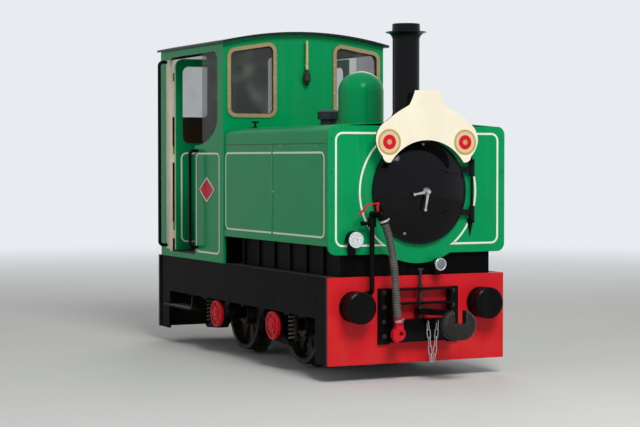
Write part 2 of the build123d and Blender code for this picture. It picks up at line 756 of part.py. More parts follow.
def headboard():
    """The shaped board over the door, and the stay that holds it on the door's upper rim."""
    arch_z = BOILER_Z + BOARD_ARCH_RISE
    foot_y = BOARD_SIDE[-1][2][0]
    foot_z = arch_z + sqrt(BOARD_ARCH_R ** 2 - foot_y ** 2)
    top_y, top_dz = BOARD_SIDE[0][0]
    edges = [Line((-top_y, BOILER_Z + top_dz), (top_y, BOILER_Z + top_dz))]
    for side in (1, -1):
        for run in BOARD_SIDE:
            points = [(side * y, BOILER_Z + dz) for y, dz in run]
            if run is BOARD_SIDE[-1]:
                points[2] = (side * foot_y, foot_z)
            edges.append(ThreePointArc(*points))
    edges.append(ThreePointArc((foot_y, foot_z), (0, arch_z + BOARD_ARCH_R), (-foot_y, foot_z)))
    back = BOARD_FRONT_X - BOARD_T
    board = plate_yz(make_face(Wire.combine(edges)[0]), back, BOARD_T)
    z = BOILER_Z + SMOKE_R - SMOKE_RIM_W - STAY_T
    stay = slab(PLATE_FACE_X + RUB_GAP + SMOKE_RIM_T, back, -STAY_W / 2, STAY_W / 2, z, z + STAY_T)
    stay += slab(back - 8, back, -STAY_W / 2, STAY_W / 2, z, z + STAY_UP)
    return board, stay - door_dish()


board, stay = headboard()
save("smokebox_door", smokebox_door())
save("smokebox_hinge", smokebox_hinge())
save("smokebox_handles", door_handles())
save("headboard", board)
save("headboard_bracket", stay)


# Chimney, dome, filler cap and whistle

def crown_z(y):
    """The bonnet top's height at a distance from the middle."""
    half = BONNET_HALF_W - BONNET_CORNER_R
    r = (half ** 2 + BONNET_CROWN ** 2) / (2 * BONNET_CROWN)
    return BONNET_SHOULDER + BONNET_CROWN - (r - sqrt(r ** 2 - y ** 2))


def turned(points, x, y=0.0):
    """A turned piece about an upright line: points are (radius, height)."""
    return Pos(x, y, 0) * revolve(Plane.XZ * poly(points), Axis.Z)


def saddle(shape, x_low, x_high):
    """Cuts a piece's foot to the bonnet's crowned top."""
    inside = plate_yz(bonnet_section(0), x_low, x_high - x_low)
    return shape - inside


def chimney():
    """The chimney with a flared foot, a thin bell rim and a top ring."""
    foot = BONNET_SHOULDER - FOOT_SINK
    rim_z = BONNET_SHOULDER + CHIMNEY_RIM_H
    top = rim_z + CHIMNEY_TOP_H
    r, foot_r, rim_r = CHIMNEY_R, CHIMNEY_R + CHIMNEY_FOOT_W, CHIMNEY_RIM_R
    bore_r = r - CHIMNEY_WALL
    flare, skirt = CHIMNEY_FLARE_H, foot + BONNET_CROWN + 16
    section = outline(
        Line((0, foot), (foot_r, foot)),
        Line((foot_r, foot), (foot_r, skirt)),
        ThreePointArc((foot_r, skirt), (r + 0.3 * CHIMNEY_FOOT_W, skirt + 0.3 * CHIMNEY_FOOT_H),
                      (r, skirt + CHIMNEY_FOOT_H)),
        Line((r, skirt + CHIMNEY_FOOT_H), (r, rim_z - flare)),
        ThreePointArc((r, rim_z - flare), (r + 0.3 * (rim_r - r), rim_z - 0.3 * flare), (rim_r, rim_z)),
        Line((rim_r, rim_z), (rim_r, rim_z + 5)),
        Line((rim_r, rim_z + 5), (r + 4, rim_z + 9)),
        Line((r + 4, rim_z + 9), (r + 2, top)),
        Line((r + 2, top), (bore_r, top)),
        Line((bore_r, top), (bore_r, top - CHIMNEY_BORE)),
        Line((bore_r, top - CHIMNEY_BORE), (0, top - CHIMNEY_BORE)),
        Line((0, top - CHIMNEY_BORE), (0, foot)),
    )
    body = Pos(CHIMNEY_X, 0, 0) * revolve(Plane.XZ * section, Axis.Z)
    return saddle(body, CHIMNEY_X - 200, CHIMNEY_X + 140)


def dome():
    """The plain dome with a low base ring."""
    foot = BONNET_SHOULDER - FOOT_SINK
    shoulder = BONNET_SHOULDER + DOME_STRAIGHT_H
    body = rod_z(0, 0, DOME_R, foot, shoulder)
    sweep_edge = EllipticalCenterArc((0, 0), DOME_R, DOME_RISE, start_angle=0, arc_size=90)
    quarter = make_face(Wire([sweep_edge, Line((0, DOME_RISE), (0, 0)), Line((0, 0), (DOME_R, 0))]))
    cap = Pos(0, 0, shoulder) * revolve(Plane.XZ * quarter, Axis.Z)
    base = rod_z(0, 0, DOME_R + DOME_BASE_W, foot, BONNET_SHOULDER + BONNET_CROWN + DOME_BASE_H)
    return saddle(Pos(DOME_X, 0, 0) * (body + cap + base), DOME_X - 200, DOME_X + 200)


def filler():
    """The filler neck and its screwed cap."""
    foot = BONNET_SHOULDER - FOOT_SINK
    top = BONNET_SHOULDER + FILLER_H
    cap = top - FILLER_CAP_H
    points = [(0, foot), (FILLER_NECK_R + 16, foot), (FILLER_NECK_R + 16, BONNET_SHOULDER + BONNET_CROWN + 8),
              (FILLER_NECK_R, BONNET_SHOULDER + BONNET_CROWN + 8), (FILLER_NECK_R, cap), (FILLER_R, cap),
              (FILLER_R, top - 10), (FILLER_R - 10, top), (24, top + 4), (0, top + 4)]
    return saddle(turned(points, FILLER_X), FILLER_X - 150, FILLER_X + 150)


def whistle():
    """The brass whistle pipe, and the valve below it on a stub from the cab front."""
    x, z = BONNET_REAR_X + WHISTLE_REACH, BONNET_SHOULDER + WHISTLE_H
    r, pipe_r = WHISTLE_BODY_R, WHISTLE_PIPE_R
    points = [(0, z), (6, z), (r - 6, z + 26), (r, z + 34), (r, z + 74), (r - 8, z + 88),
              (pipe_r + 4, z + 96), (pipe_r + 4, z + 110), (0, z + 110)]
    valve_body = turned(points, x) + rod_x(0, z + 54, 12, BONNET_REAR_X, x)
    low = z + 110
    top = low + WHISTLE_PIPE_L
    mouth = slab(x, x + pipe_r + 1, -pipe_r, pipe_r, low + 24, low + 40)
    pipe = rod_z(x, 0, pipe_r, low, top - 6) + rod_z(x, 0, pipe_r - 4, top - 6, top)
    return pipe - mouth, valve_body


save("chimney", chimney())
save("dome", dome())
save("filler_cap", filler())
whistle_pipe, whistle_body = whistle()
save("whistle", whistle_pipe)
save("whistle_valve", whistle_body)


# Cab

ROOF_R = (ROOF_HALF_W ** 2 + ROOF_RISE ** 2) / (2 * ROOF_RISE)
ROOF_CENTRE = EAVES_Z + ROOF_RISE - ROOF_R


def under_roof(y):
    """The height of the roof's underside at a distance from the middle."""
    return ROOF_CENTRE + sqrt((ROOF_R - ROOF_T) ** 2 - y ** 2)


def roof():
    """The arched roof sheet."""
    ends = [(ROOF_HALF_W, EAVES_Z), (0, EAVES_Z + ROOF_RISE), (-ROOF_HALF_W, EAVES_Z)]
    low = under_roof(ROOF_HALF_W)
    under = [(-ROOF_HALF_W, low), (0, ROOF_CENTRE + ROOF_R - ROOF_T), (ROOF_HALF_W, low)]
    face = outline(ThreePointArc(*ends), Line(ends[2], under[0]), ThreePointArc(*under),
                   Line(under[2], ends[0]))
    return plate_yz(face, ROOF_REAR_X, ROOF_FRONT_X - ROOF_REAR_X)


def under_roof_cutter():
    """Everything above the roof's underside."""
    w = BODY_HALF_W + 60
    z = under_roof(w)
    face = outline(ThreePointArc((-w, z), (0, ROOF_CENTRE + ROOF_R - ROOF_T), (w, z)),
                   Line((w, z), (w, z + 900)), Line((w, z + 900), (-w, z + 900)),
                   Line((-w, z + 900), (-w, z)))
    return plate_yz(face, ROOF_REAR_X - 50, ROOF_FRONT_X - ROOF_REAR_X + 100)


def doorway_face():
    """The door's opening with the wider light above the lower side sheet."""
    a, b = DOORWAY_REAR_X, SIDELIGHT_FRONT_X
    r, top = DOORWAY_CORNER_R, DOORWAY_TOP
    k = r * (1 - sqrt(0.5))
    half_x, half_z = b - DOORWAY_FRONT_X, SIDELIGHT_SILL_Z - SIDE_SHEET_TOP
    lower_edge = EllipticalCenterArc((DOORWAY_FRONT_X, SIDELIGHT_SILL_Z), half_x, half_z,
                                     start_angle=270, arc_size=90)
    return outline(
        Line((DOORWAY_FRONT_X, FLOOR_TOP), (a, FLOOR_TOP)),
        Line((a, FLOOR_TOP), (a, top - r)),
        ThreePointArc((a, top - r), (a + k, top - k), (a + r, top)),
        Line((a + r, top), (b - r, top)),
        ThreePointArc((b - r, top), (b - k, top - k), (b, top - r)),
        Line((b, top - r), (b, SIDELIGHT_SILL_Z)),
        lower_edge,
        Line((DOORWAY_FRONT_X, SIDE_SHEET_TOP), (DOORWAY_FRONT_X, FLOOR_TOP)),
    )


CUTTER = under_roof_cutter()


def cab_side():
    """The left side wall with the doorway and the light above the side sheet."""
    wall = slab(CAB_REAR_X, BONNET_REAR_X, BODY_HALF_W - WALL_T, BODY_HALF_W, DECK_TOP, EAVES_Z + ROOF_RISE)
    hole = plate_xz(doorway_face(), BODY_HALF_W - WALL_T - 1, WALL_T + 2)
    return wall - hole - CUTTER


def window_face(grow):
    """One end window's outline on the left, made larger by grow."""
    y0, y1 = WINDOW_INNER_Y - grow, WINDOW_OUTER_Y + grow
    slope = (WINDOW_TOP_OUTER - WINDOW_TOP_INNER) / (WINDOW_OUTER_Y - WINDOW_INNER_Y)
    z0 = WINDOW_SILL - grow
    top_in = WINDOW_TOP_INNER + grow - slope * grow
    top_out = WINDOW_TOP_OUTER + grow + slope * grow
    face = poly([(y0, z0), (y1, z0), (y1, top_out), (y0, top_in)])
    return fillet(face.vertices(), WINDOW_CORNER_R + grow)


def end_wall(x_low):
    """A cab end wall with its two windows."""
    inner = BODY_HALF_W - WALL_T
    wall = slab(x_low, x_low + WALL_T, -inner, inner, DECK_TOP, EAVES_Z + ROOF_RISE) - CUTTER
    hole = plate_yz(window_face(-WINDOW_RIM), x_low - 1, WALL_T + 2)
    return wall - hole - other_side(hole)


def window_frame(x_low, x_high):
    """One window's raised frame on the wall's outer face."""
    return plate_yz(window_face(0) - window_face(-WINDOW_RIM), x_low, x_high - x_low)


def pane_face():
    """The fixed pane's outline, in the front part of the light."""
    box_face = Pos((PANE_REAR_X + SIDELIGHT_FRONT_X) / 2, RAIL + 1700) * Rectangle(
        SIDELIGHT_FRONT_X - PANE_REAR_X, 900)
    return doorway_face() & box_face


cab_front_x = BONNET_REAR_X - WALL_T
glass_mid = WALL_T / 2 - PANE_T / 2
panes = []
for x_low in (CAB_REAR_X + glass_mid, cab_front_x + glass_mid):
    panes += pair(plate_yz(window_face(-WINDOW_RIM), x_low, PANE_T))
side_pane = plate_xz(pane_face(), BODY_HALF_W - WALL_T + glass_mid, PANE_T)
save("cab_left_side", cab_side())
save("cab_right_side", other_side(cab_side()))
save("cab_front_wall", end_wall(cab_front_x))
save("cab_rear_wall", end_wall(CAB_REAR_X))
save("cab_roof", roof())
save("cab_floor", slab(CAB_REAR_X + WALL_T, cab_front_x, -(BODY_HALF_W - WALL_T), BODY_HALF_W - WALL_T,
                       DECK_TOP, FLOOR_TOP))
save("window_frames", pair(window_frame(BONNET_REAR_X, BONNET_REAR_X + WINDOW_PROUD))
     + pair(window_frame(CAB_REAR_X - WINDOW_PROUD, CAB_REAR_X)))
save("window_panes", panes + pair(side_pane))


# Cab doors, hinged on the doorway's rear edge and swinging inwards

DOOR_REAR_X = DOORWAY_REAR_X + DOOR_GAP
DOOR_AXIS = (DOOR_REAR_X - DOOR_KNUCKLE_R - 1, BODY_HALF_W - DOOR_T - 3)
KNUCKLES = (RAIL + 800, RAIL + 1350, RAIL + 1880)
KNUCKLE_H = 60.0


def cab_door():
    """The left door in its closed place."""
    low, top = FLOOR_TOP + DOOR_GAP + 2, DOORWAY_TOP - DOOR_GAP - 2
    x0, x1 = DOOR_REAR_X, DOORWAY_FRONT_X - DOOR_GAP
    r = DOORWAY_CORNER_R
    k = r * (1 - sqrt(0.5))
    face = outline(Line((x0, low), (x0, top - r)),
                   ThreePointArc((x0, top - r), (x0 + k, top - k), (x0 + r, top)),
                   Line((x0 + r, top), (x1, top)), Line((x1, top), (x1, low)), Line((x1, low), (x0, low)))
    rim = DOOR_WINDOW_RIM
    window = Pos((x0 + x1) / 2, (DOOR_WINDOW_SILL + top - rim) / 2) * RectangleRounded(
        x1 - x0 - 2 * rim, top - rim - DOOR_WINDOW_SILL, 50)
    y_low = DOOR_AXIS[1]
    leaf = plate_xz(face - window, y_low, DOOR_T)
    for z in KNUCKLES:
        leaf += rod_z(*DOOR_AXIS, DOOR_KNUCKLE_R, z + RUB_GAP, z + KNUCKLE_H)
        leaf += slab(DOOR_AXIS[0], x0 + 30, y_low - 5, y_low, z + RUB_GAP, z + KNUCKLE_H)
    return leaf


def door_hinges():
    """The fixed halves of one door's hinges, on the inner face of the side wall."""
    inner = BODY_HALF_W - WALL_T
    parts = []
    for z in KNUCKLES:
        knuckle = rod_z(*DOOR_AXIS, DOOR_KNUCKLE_R, z - KNUCKLE_H, z)
        leaf = slab(DOOR_AXIS[0] - 45, DOOR_AXIS[0], inner - 6, inner, z - KNUCKLE_H, z)
        cut = slab(DOOR_AXIS[0] - 50, DOOR_AXIS[0] + 50, inner, inner + 60, z - 100, z + 100)
        parts.append(knuckle + leaf - cut)
    return parts


def swung(shape, degrees):
    """A shape turned about the left door's hinge line."""
    return Pos(*DOOR_AXIS, 0) * Rot(0, 0, degrees) * Pos(-DOOR_AXIS[0], -DOOR_AXIS[1], 0) * shape


save("left_cab_door", cab_door())
save("right_cab_door", other_side(swung(cab_door(), -90)))
left_hinges = door_hinges()
save("cab_door_hinges", left_hinges + [other_side(part) for part in left_hinges])


# Cab inside: control desk and stool

def control_desk():
    """The desk along the cab's front wall."""
    back, top = cab_front_x, FLOOR_TOP + DESK_H
    face = poly([(back - DESK_DEPTH, FLOOR_TOP), (back, FLOOR_TOP), (back, top), (back - DESK_TOP_DEPTH, top),
                 (back - DESK_DEPTH, top - DESK_SLOPE_H)])
    return plate_xz(face, -DESK_HALF_W, 2 * DESK_HALF_W)


def stool():
    """The driver's round seat on a pedestal."""
    low, top = FLOOR_TOP, FLOOR_TOP + STOOL_H
    seat_top = top + STOOL_SEAT_T
    points = [(0, low), (STOOL_FOOT_R, low), (STOOL_FOOT_R, low + 10), (STOOL_TUBE_R, low + 24),
              (STOOL_TUBE_R, top - 25), (STOOL_TUBE_R + 32, top - 10), (STOOL_TUBE_R + 32, top), (0, top)]
    seat = [(0, top), (STOOL_SEAT_R - 10, top), (STOOL_SEAT_R, top + 15), (STOOL_SEAT_R, seat_top - 15),
            (STOOL_SEAT_R - 15, seat_top), (0, seat_top)]
    return turned(points, STOOL_X), turned(seat, STOOL_X)


post, seat = stool()
save("control_desk", control_desk())
save("stool_post", post)
save("stool_seat", seat)


# Buffers and draw gear at each end

def buffers(end):
    """Two buffers on one beam."""
    x0, x1 = BEAM_FACE_X, BEAM_FACE_X + BUFFER_FACE
    neck = x1 - BUFFER_HEAD_T - BUFFER_LIP
    base, head = HOUSING_R + BUFFER_BASE_W, BUFFER_HEAD_R
    points = [(x0, 0), (x0, base), (x0 + BUFFER_BASE_T, base), (x0 + BUFFER_BASE_T, HOUSING_R),
              (neck, HOUSING_R), (neck, head - BUFFER_BACK_LIP), (neck + BUFFER_BACK_LIP, head),
              (x1 - BUFFER_LIP, head), (x1, head - BUFFER_FACE_LIP), (x1, 0)]
    body = revolve(Plane.XZ * poly(points), Axis.X)
    return [end_piece(Pos(0, y, BUFFER_Z) * body, end) for y in (-BUFFER_Y, BUFFER_Y)]


def pocket():
    """The fabricated coupling pocket: two bolted flanges, three shelves and a lower block."""
    x0, x1 = BEAM_FACE_X, BEAM_FACE_X + POCKET_DEPTH
    inner = POCKET_HALF_W - POCKET_FLANGE_W
    body = slab(x0, x1, -inner - SHELF_T, inner + SHELF_T, POCKET_BOTTOM, POCKET_TOP)
    body -= slab(x0 - 1, x1 + 1, -inner, inner, SHELF_LOW_Z, POCKET_TOP - SHELF_T)
    body += slab(x0, x1, -inner, inner, SHELF_MID_Z - SHELF_T, SHELF_MID_Z)
    for side in (1, -1):
        body += slab(x0, x0 + POCKET_FLANGE_T, side * inner, side * POCKET_HALF_W, POCKET_BOTTOM - SHELF_T,
                     POCKET_TOP)
    x, r = x0 + PIN_X, PIN_R + RUB_GAP
    return body - rod_z(x, 0, r, POCKET_BOTTOM + 60, POCKET_TOP + 10)


def coupling_pin():
    """The upright pin with its cross handle."""
    x = BEAM_FACE_X + PIN_X
    pin = rod_z(x, 0, PIN_R, POCKET_BOTTOM + 61, POCKET_TOP + 20)
    pin += rod_z(x, 0, PIN_NECK_R, POCKET_TOP, PIN_TOP)
    return pin + rod_y(x, PIN_TOP, PIN_HANDLE_R, -PIN_HANDLE_HALF, PIN_HANDLE_HALF)


TAIL_TOP = HEAD_Z + HEAD_SLOT_FOOT


def drawbar():
    """The flat drawbar with the pin that the head turns on, swung aside."""
    bottom = DRAWBAR_Z - DRAWBAR_T / 2
    plan = link((0, 0), (DRAWBAR_L, 0), DRAWBAR_EYE_R, DRAWBAR_END_R)
    bar = Pos(0, 0, bottom) * extrude(plan, DRAWBAR_T)
    bar -= rod_z(0, 0, PIN_R + RUB_GAP, bottom - 1, bottom + DRAWBAR_T + 1)
    foot = TAIL_TOP - TAIL_T - TAIL_GAP
    bar += rod_z(DRAWBAR_L, 0, TAIL_PIN_BOSS_R, TAIL_TOP + TAIL_GAP, bottom + 1)
    bar += rod_z(DRAWBAR_L, 0, PIN_R, foot - 1, TAIL_TOP + TAIL_GAP + 1)
    bar += rod_z(DRAWBAR_L, 0, TAIL_PIN_BOSS_R, foot - TAIL_PIN_FOOT, foot)
    return Pos(BEAM_FACE_X + PIN_X, 0, 0) * Rot(0, 0, DRAWBAR_SWING) * bar


def coupler():
    """The oval head with its open slot, on a tail whose eye turns on the drawbar's pin."""
    side = HEAD_HALF_W - HEAD_HALF_H
    face = link((-side, HEAD_Z), (side, HEAD_Z), HEAD_HALF_H, HEAD_HALF_H)
    head = plate_yz(face, TAIL_L, HEAD_DEPTH)
    head = chamfer(head.edges().group_by(Axis.X)[0], HEAD_BACK_EDGE)
    head = chamfer(head.edges().group_by(Axis.X)[-1], HEAD_FRONT_EDGE)
    head -= slab(TAIL_L - 1, TAIL_L + HEAD_DEPTH + 1, -HEAD_SLOT_W / 2, HEAD_SLOT_W / 2, TAIL_TOP,
                 HEAD_Z + HEAD_HALF_H + 1)
    low = TAIL_TOP - TAIL_T
    tail = rod_z(0, 0, TAIL_EYE_R, low, TAIL_TOP)
    tail += slab(0, TAIL_L + HEAD_BACK_EDGE, -TAIL_EYE_R, TAIL_EYE_R, low, TAIL_TOP)
    tail -= rod_z(0, 0, PIN_R + RUB_GAP, low - 1, TAIL_TOP + 1)
    turn = radians(DRAWBAR_SWING)
    return Pos(BEAM_FACE_X + PIN_X + DRAWBAR_L * cos(turn), DRAWBAR_L * sin(turn), 0) * (head + tail)


ENDS = (("front", 1), ("rear", -1))
for name, end in ENDS:
    save(f"{name}_drawbar", end_piece(drawbar(), end))
    save(f"{name}_coupler", end_piece(coupler(), end))
save("buffers", buffers(1) + buffers(-1))
save("coupling_pins", [end_piece(coupling_pin(), end) for name, end in ENDS])


# Chain that hangs at the front coupling, and the pin that carries it

LINK_WIRE_R = 3.2
LINK_IN_L = 52.0
LINK_IN_W = 15.0
LINK_PLAY = 1.5
LINK_END_STEPS = 4
CROSS_PIN_R = 4.0
CHAIN_Y = 60.0
STRAND_DY = 34.0
STRAND_LEAN = 6.0
PIN_END_GAP = 9.0
PIN_LUG_T = 6.0
PIN_LUG_HALF = 9.0
CHAIN_X = BEAM_FACE_X + POCKET_DEPTH + 18.0
CHAIN_TOP = RAIL + 332.0
CHAIN_LINKS = 5


def link_ring(r):
    """A long link's outline with many-sided round ends of a radius."""
    half = (LINK_IN_L - LINK_IN_W) / 2
    turns = [180 * i / LINK_END_STEPS for i in range(LINK_END_STEPS + 1)]
    top = [(r * cos(radians(turn)), half + r * sin(radians(turn))) for turn in turns]
    return poly(top + [(-x, -z) for x, z in top])


def chain_link(turn):
    """One upright link of eight-sided wire about the origin."""
    ring = link_ring(LINK_IN_W / 2 + 2 * LINK_WIRE_R) - link_ring(LINK_IN_W / 2)
    solid = plate_xz(ring, -LINK_WIRE_R, 2 * LINK_WIRE_R)
    solid = chamfer(solid.edges().filter_by(Axis.Y, reverse=True), LINK_WIRE_R * 0.58)
    return Rot(0, 0, turn) * solid


def chain():
    """Two hanging strands of alternate links, leaning towards each other."""
    pitch = LINK_IN_L - LINK_PLAY
    first = CROSS_PIN_R + LINK_PLAY / 2 - LINK_IN_L / 2
    links = []
    for side in (-1, 1):
        strand = Pos(CHAIN_X, CHAIN_Y + side * STRAND_DY, CHAIN_TOP) * Rot(-side * STRAND_LEAN, 0, 0)
        for i in range(CHAIN_LINKS):
            links.append(strand * Pos(0, 0, first - i * pitch) * chain_link(90 * (i % 2)))
    return links


def chain_bracket():
    """Two lugs on the pocket's face with the cross pin that the top links hang on."""
    reach = STRAND_DY + LINK_WIRE_R + PIN_END_GAP
    bracket = rod_y(CHAIN_X, CHAIN_TOP, CROSS_PIN_R, CHAIN_Y - reach, CHAIN_Y + reach)
    for side in (-1, 1):
        y = CHAIN_Y + side * reach
        bracket += slab(BEAM_FACE_X + POCKET_DEPTH, CHAIN_X + PIN_LUG_HALF, y - PIN_LUG_T / 2,
                        y + PIN_LUG_T / 2, CHAIN_TOP - PIN_LUG_HALF, CHAIN_TOP + PIN_LUG_HALF)
    return bracket


save("coupling_pockets", [pocket() + chain_bracket(), other_end(pocket())])
save("coupling_chain", chain())


# Lamps

def head_lamp():
    """The round white marker lamp on a bracket from the front plate."""
    x0 = PLATE_FACE_X
    x1 = x0 + LAMP_STUB_L
    lamp = rod_x(LAMP_Y, LAMP_Z, LAMP_R, x1, x1 + LAMP_BODY_L) + rod_x(LAMP_Y, LAMP_Z, 20, x0, x1)
    return lamp + slab(x0, x0 + 12, LAMP_Y - 24, LAMP_Y + 24, LAMP_Z - 92, LAMP_Z + 20)


def lamp_lens():
    """The marker lamp's white lens."""
    x0 = PLATE_FACE_X + LAMP_STUB_L + LAMP_BODY_L
    return rod_x(LAMP_Y, LAMP_Z, LAMP_R - 4, x0, x0 + LENS_T)


def spot_lamp():
    """The small bright lamp under the front plate, on an angle bracket from the beam."""
    x0 = PLATE_FACE_X + 4
    body = rod_x(SPOT_Y, SPOT_Z, SPOT_R, x0 + 30, x0 + 76) + rod_x(SPOT_Y, SPOT_Z, SPOT_R - 12, x0, x0 + 30)
    foot = slab(HOOD_FRONT_X, x0 + 24, SPOT_Y - 14, SPOT_Y + 14, DECK_TOP, DECK_TOP + 6)
    return body + foot + slab(x0 + 12, x0 + 24, SPOT_Y - 14, SPOT_Y + 14, DECK_TOP, SPOT_Z)


save("marker_lamp", head_lamp())
save("marker_lamp_lens", lamp_lens())
save("spot_lamp", spot_lamp())


# Brake standpipe, its valve, the hanging hose and the red hose coupling

HOSE_ROUTE = (
    # distance in front of the beam, Y, Z
    (140, -300, 955), (139, -268, 868), (138, -246, 772), (136, -230, 655), (135, -222, 541),
    (134, -212, 425), (133, -204, 389),
)
HOSE_POINTS = [(BEAM_FACE_X + ahead, y, z) for ahead, y, z in HOSE_ROUTE]
PIPE_LINE_X = BEAM_FACE_X + PIPE_X


def tube(path, r):
    """A round bar or tube drawn along a path."""
    return sweep(Plane(path @ 0, z_dir=path % 0) * Circle(r), path)


def rods(points, r):
    """Round bars from point to point, with a ball at each corner between them."""
    places = [Vector(*point) for point in points]
    body = Pos(*places[0]) * Sphere(r)
    for a, b in zip(places, places[1:]):
        way = b - a
        body += Plane(a, z_dir=way) * Pos(0, 0, way.length / 2) * Cylinder(r, way.length)
        body += Pos(*b) * Sphere(r)
    return body


def outlet():
    """The valve's arched outlet down to the collar round the hose's end."""
    end = Vector(*HOSE_POINTS[0])
    back = (end - Vector(*HOSE_POINTS[1])).normalized()
    corner = end + back * ((ARCH_Z - end.Z) / back.Z)
    body = rods([(PIPE_LINE_X, PIPE_Y, PIPE_TOP + VALVE_H / 2), (PIPE_LINE_X, PIPE_Y, ARCH_Z), corner,
                 end + back * (ARCH_R + 2)], ARCH_R)
    return body + Plane(end, z_dir=back) * Pos(0, 0, COLLAR_L / 2) * Cylinder(COLLAR_R, COLLAR_L)


def standpipe():
    """The pipe up from the beam, with its valve, small knob and outlet."""
    path = FilletPolyline((BEAM_FACE_X, PIPE_Y, PIPE_LOW_Z), (PIPE_LINE_X, PIPE_Y, PIPE_LOW_Z),
                          (PIPE_LINE_X, PIPE_Y, PIPE_TOP + 1), radius=PIPE_BEND_R)
    pipe = tube(path, PIPE_R) + rod_z(PIPE_LINE_X, PIPE_Y, VALVE_R, PIPE_TOP, PIPE_TOP + VALVE_H)
    pipe += rod_y(PIPE_LINE_X, KNOB_Z, KNOB_STEM_R, KNOB_Y, PIPE_Y)
    pipe += rod_y(PIPE_LINE_X, KNOB_Z, KNOB_R, KNOB_Y - KNOB_T, KNOB_Y)
    return pipe + outlet()


def valve_lever():
    """The arched lever on its stem, over the valve's outlet."""
    ahead = (HOSE_POINTS[0][0] - PIPE_LINE_X) / (HOSE_POINTS[0][1] - PIPE_Y)
    x = PIPE_LINE_X + (LEVER_Y - PIPE_Y) * ahead
    high = LEVER_Z + LEVER_T / 2
    path = FilletPolyline((x, LEVER_Y + LEVER_W / 2, high), (x, LEVER_Y - LEVER_FLAT_L, high),
                          (x, LEVER_Y - LEVER_REACH, high - LEVER_DROP), radius=LEVER_BEND_R)
    strip = sweep(Plane(path @ 0, x_dir=(1, 0, 0), z_dir=path % 0) * Rectangle(LEVER_W, LEVER_T), path)
    return strip + rod_z(x, LEVER_Y, LEVER_T, ARCH_Z, LEVER_Z + LEVER_T + 4) - outlet()


def arc_radii(points):
    """Arc radii for a cord's route: 0.45 of the shorter run over the tangent of half the turn."""
    radii = []
    for a, b, c in zip(points, points[1:], points[2:]):
        run_in, run_out = Vector(*b) - Vector(*a), Vector(*c) - Vector(*b)
        turn = run_in.get_angle(run_out)
        radii.append(0.45 * min(run_in.length, run_out.length) / tan(radians(turn) / 2))
    return radii


def hose():
    """The hanging brake hose: straight runs joined by tangent arcs."""
    radii = arc_radii(HOSE_POINTS)
    print("hose radii", [round(r) for r in radii])
    path = FilletPolyline(*HOSE_POINTS, radius=radii)
    print("hose length", round(path.length))
    return tube(path, HOSE_R)


def hose_coupling():
    """The hooked coupling on the hose's lower end, drawn down the hose's last run."""
    end = Vector(*HOSE_POINTS[-1])
    way = (end - Vector(*HOSE_POINTS[-2])).normalized()
    place = Plane(end, x_dir=(0, 1, 0), z_dir=way)
    centre = (HOOK_AWAY, COLLAR_L + HOOK_DROP)
    collar = Pos(0, 0, COLLAR_L / 2) * Cylinder(COLLAR_R, COLLAR_L)
    face = Pos(*centre) * Circle(HOOK_R)
    for a, b, r_a, r_b in HOOK_ARMS:
        face += link((a[0], COLLAR_L + a[1]), (b[0], COLLAR_L + b[1]), r_a, r_b)
    face -= Pos(centre[0] + HOOK_HOLE_R, centre[1]) * Circle(HOOK_HOLE_R)
    hook = extrude(Plane.XZ.offset(-HOOK_T / 2) * face, HOOK_T)
    return place * (collar + hook)


save("brake_standpipe", standpipe())
save("valve_lever", valve_lever())
save("brake_hose", hose())
save("hose_coupling", hose_coupling())


# Steps and handrails

def step():
    """The left cab step: a tread notched round the frame leg, and two hanger plates."""
    y1, y0 = STEP_OUTER_Y, STEP_OUTER_Y - STEP_DEPTH
    body = slab(STEP_REAR_X, STEP_FRONT_X, y0, y1, STEP_Z - STEP_T, STEP_Z)
    leg = LEG_W - BEAM_BACK
    for x in (leg, STEP_FRONT_X - STEP_T):
        face = poly([(y0, STEP_Z), (y1 - 12, STEP_Z), (FRAME_OUTER_Y, FRAME_BOTTOM), (y0 + 40, FRAME_BOTTOM)])
        body += plate_yz(face, x, STEP_T)
    return body - slab(-BEAM_BACK, leg, FRAME_OUTER_Y - FRAME_T, FRAME_OUTER_Y, BEAM_BOTTOM, FRAME_BOTTOM)


def handrail(x, z0, z1):
    """A handrail on the left side with turned-in ends."""
    y0, y1 = BODY_HALF_W, BODY_HALF_W + RAIL_STANDOFF
    path = FilletPolyline((x, y0, z0), (x, y1, z0), (x, y1, z1), (x, y0, z1), radius=28)
    return sweep(Plane(path @ 0, z_dir=path % 0) * Circle(RAIL_BAR_R), path)


HANDRAILS = (
    # X, lower end, upper end
    (DOORWAY_REAR_X - 60, FLOOR_TOP + 42, DOORWAY_TOP - 30),
    (DOORWAY_FRONT_X + 53, FLOOR_TOP + 52, SIDE_SHEET_TOP - 35),
)
rails = []
for x, z0, z1 in HANDRAILS:
    rails += pair(handrail(x, z0, z1))
save("cab_steps", pair(step()))
save("handrails", rails)
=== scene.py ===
"""Finishes, cord and small fittings of the narrow gauge diesel locomotive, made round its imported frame.

Metres throughout. +X is forward, +Y the locomotive's left, +Z up, and the floor is at zero.
"""
from __future__ import annotations

import logging
import math
from dataclasses import dataclass
from enum import Enum
from typing import Any, Sequence

import bmesh
import bpy
from mathutils import Matrix, Vector


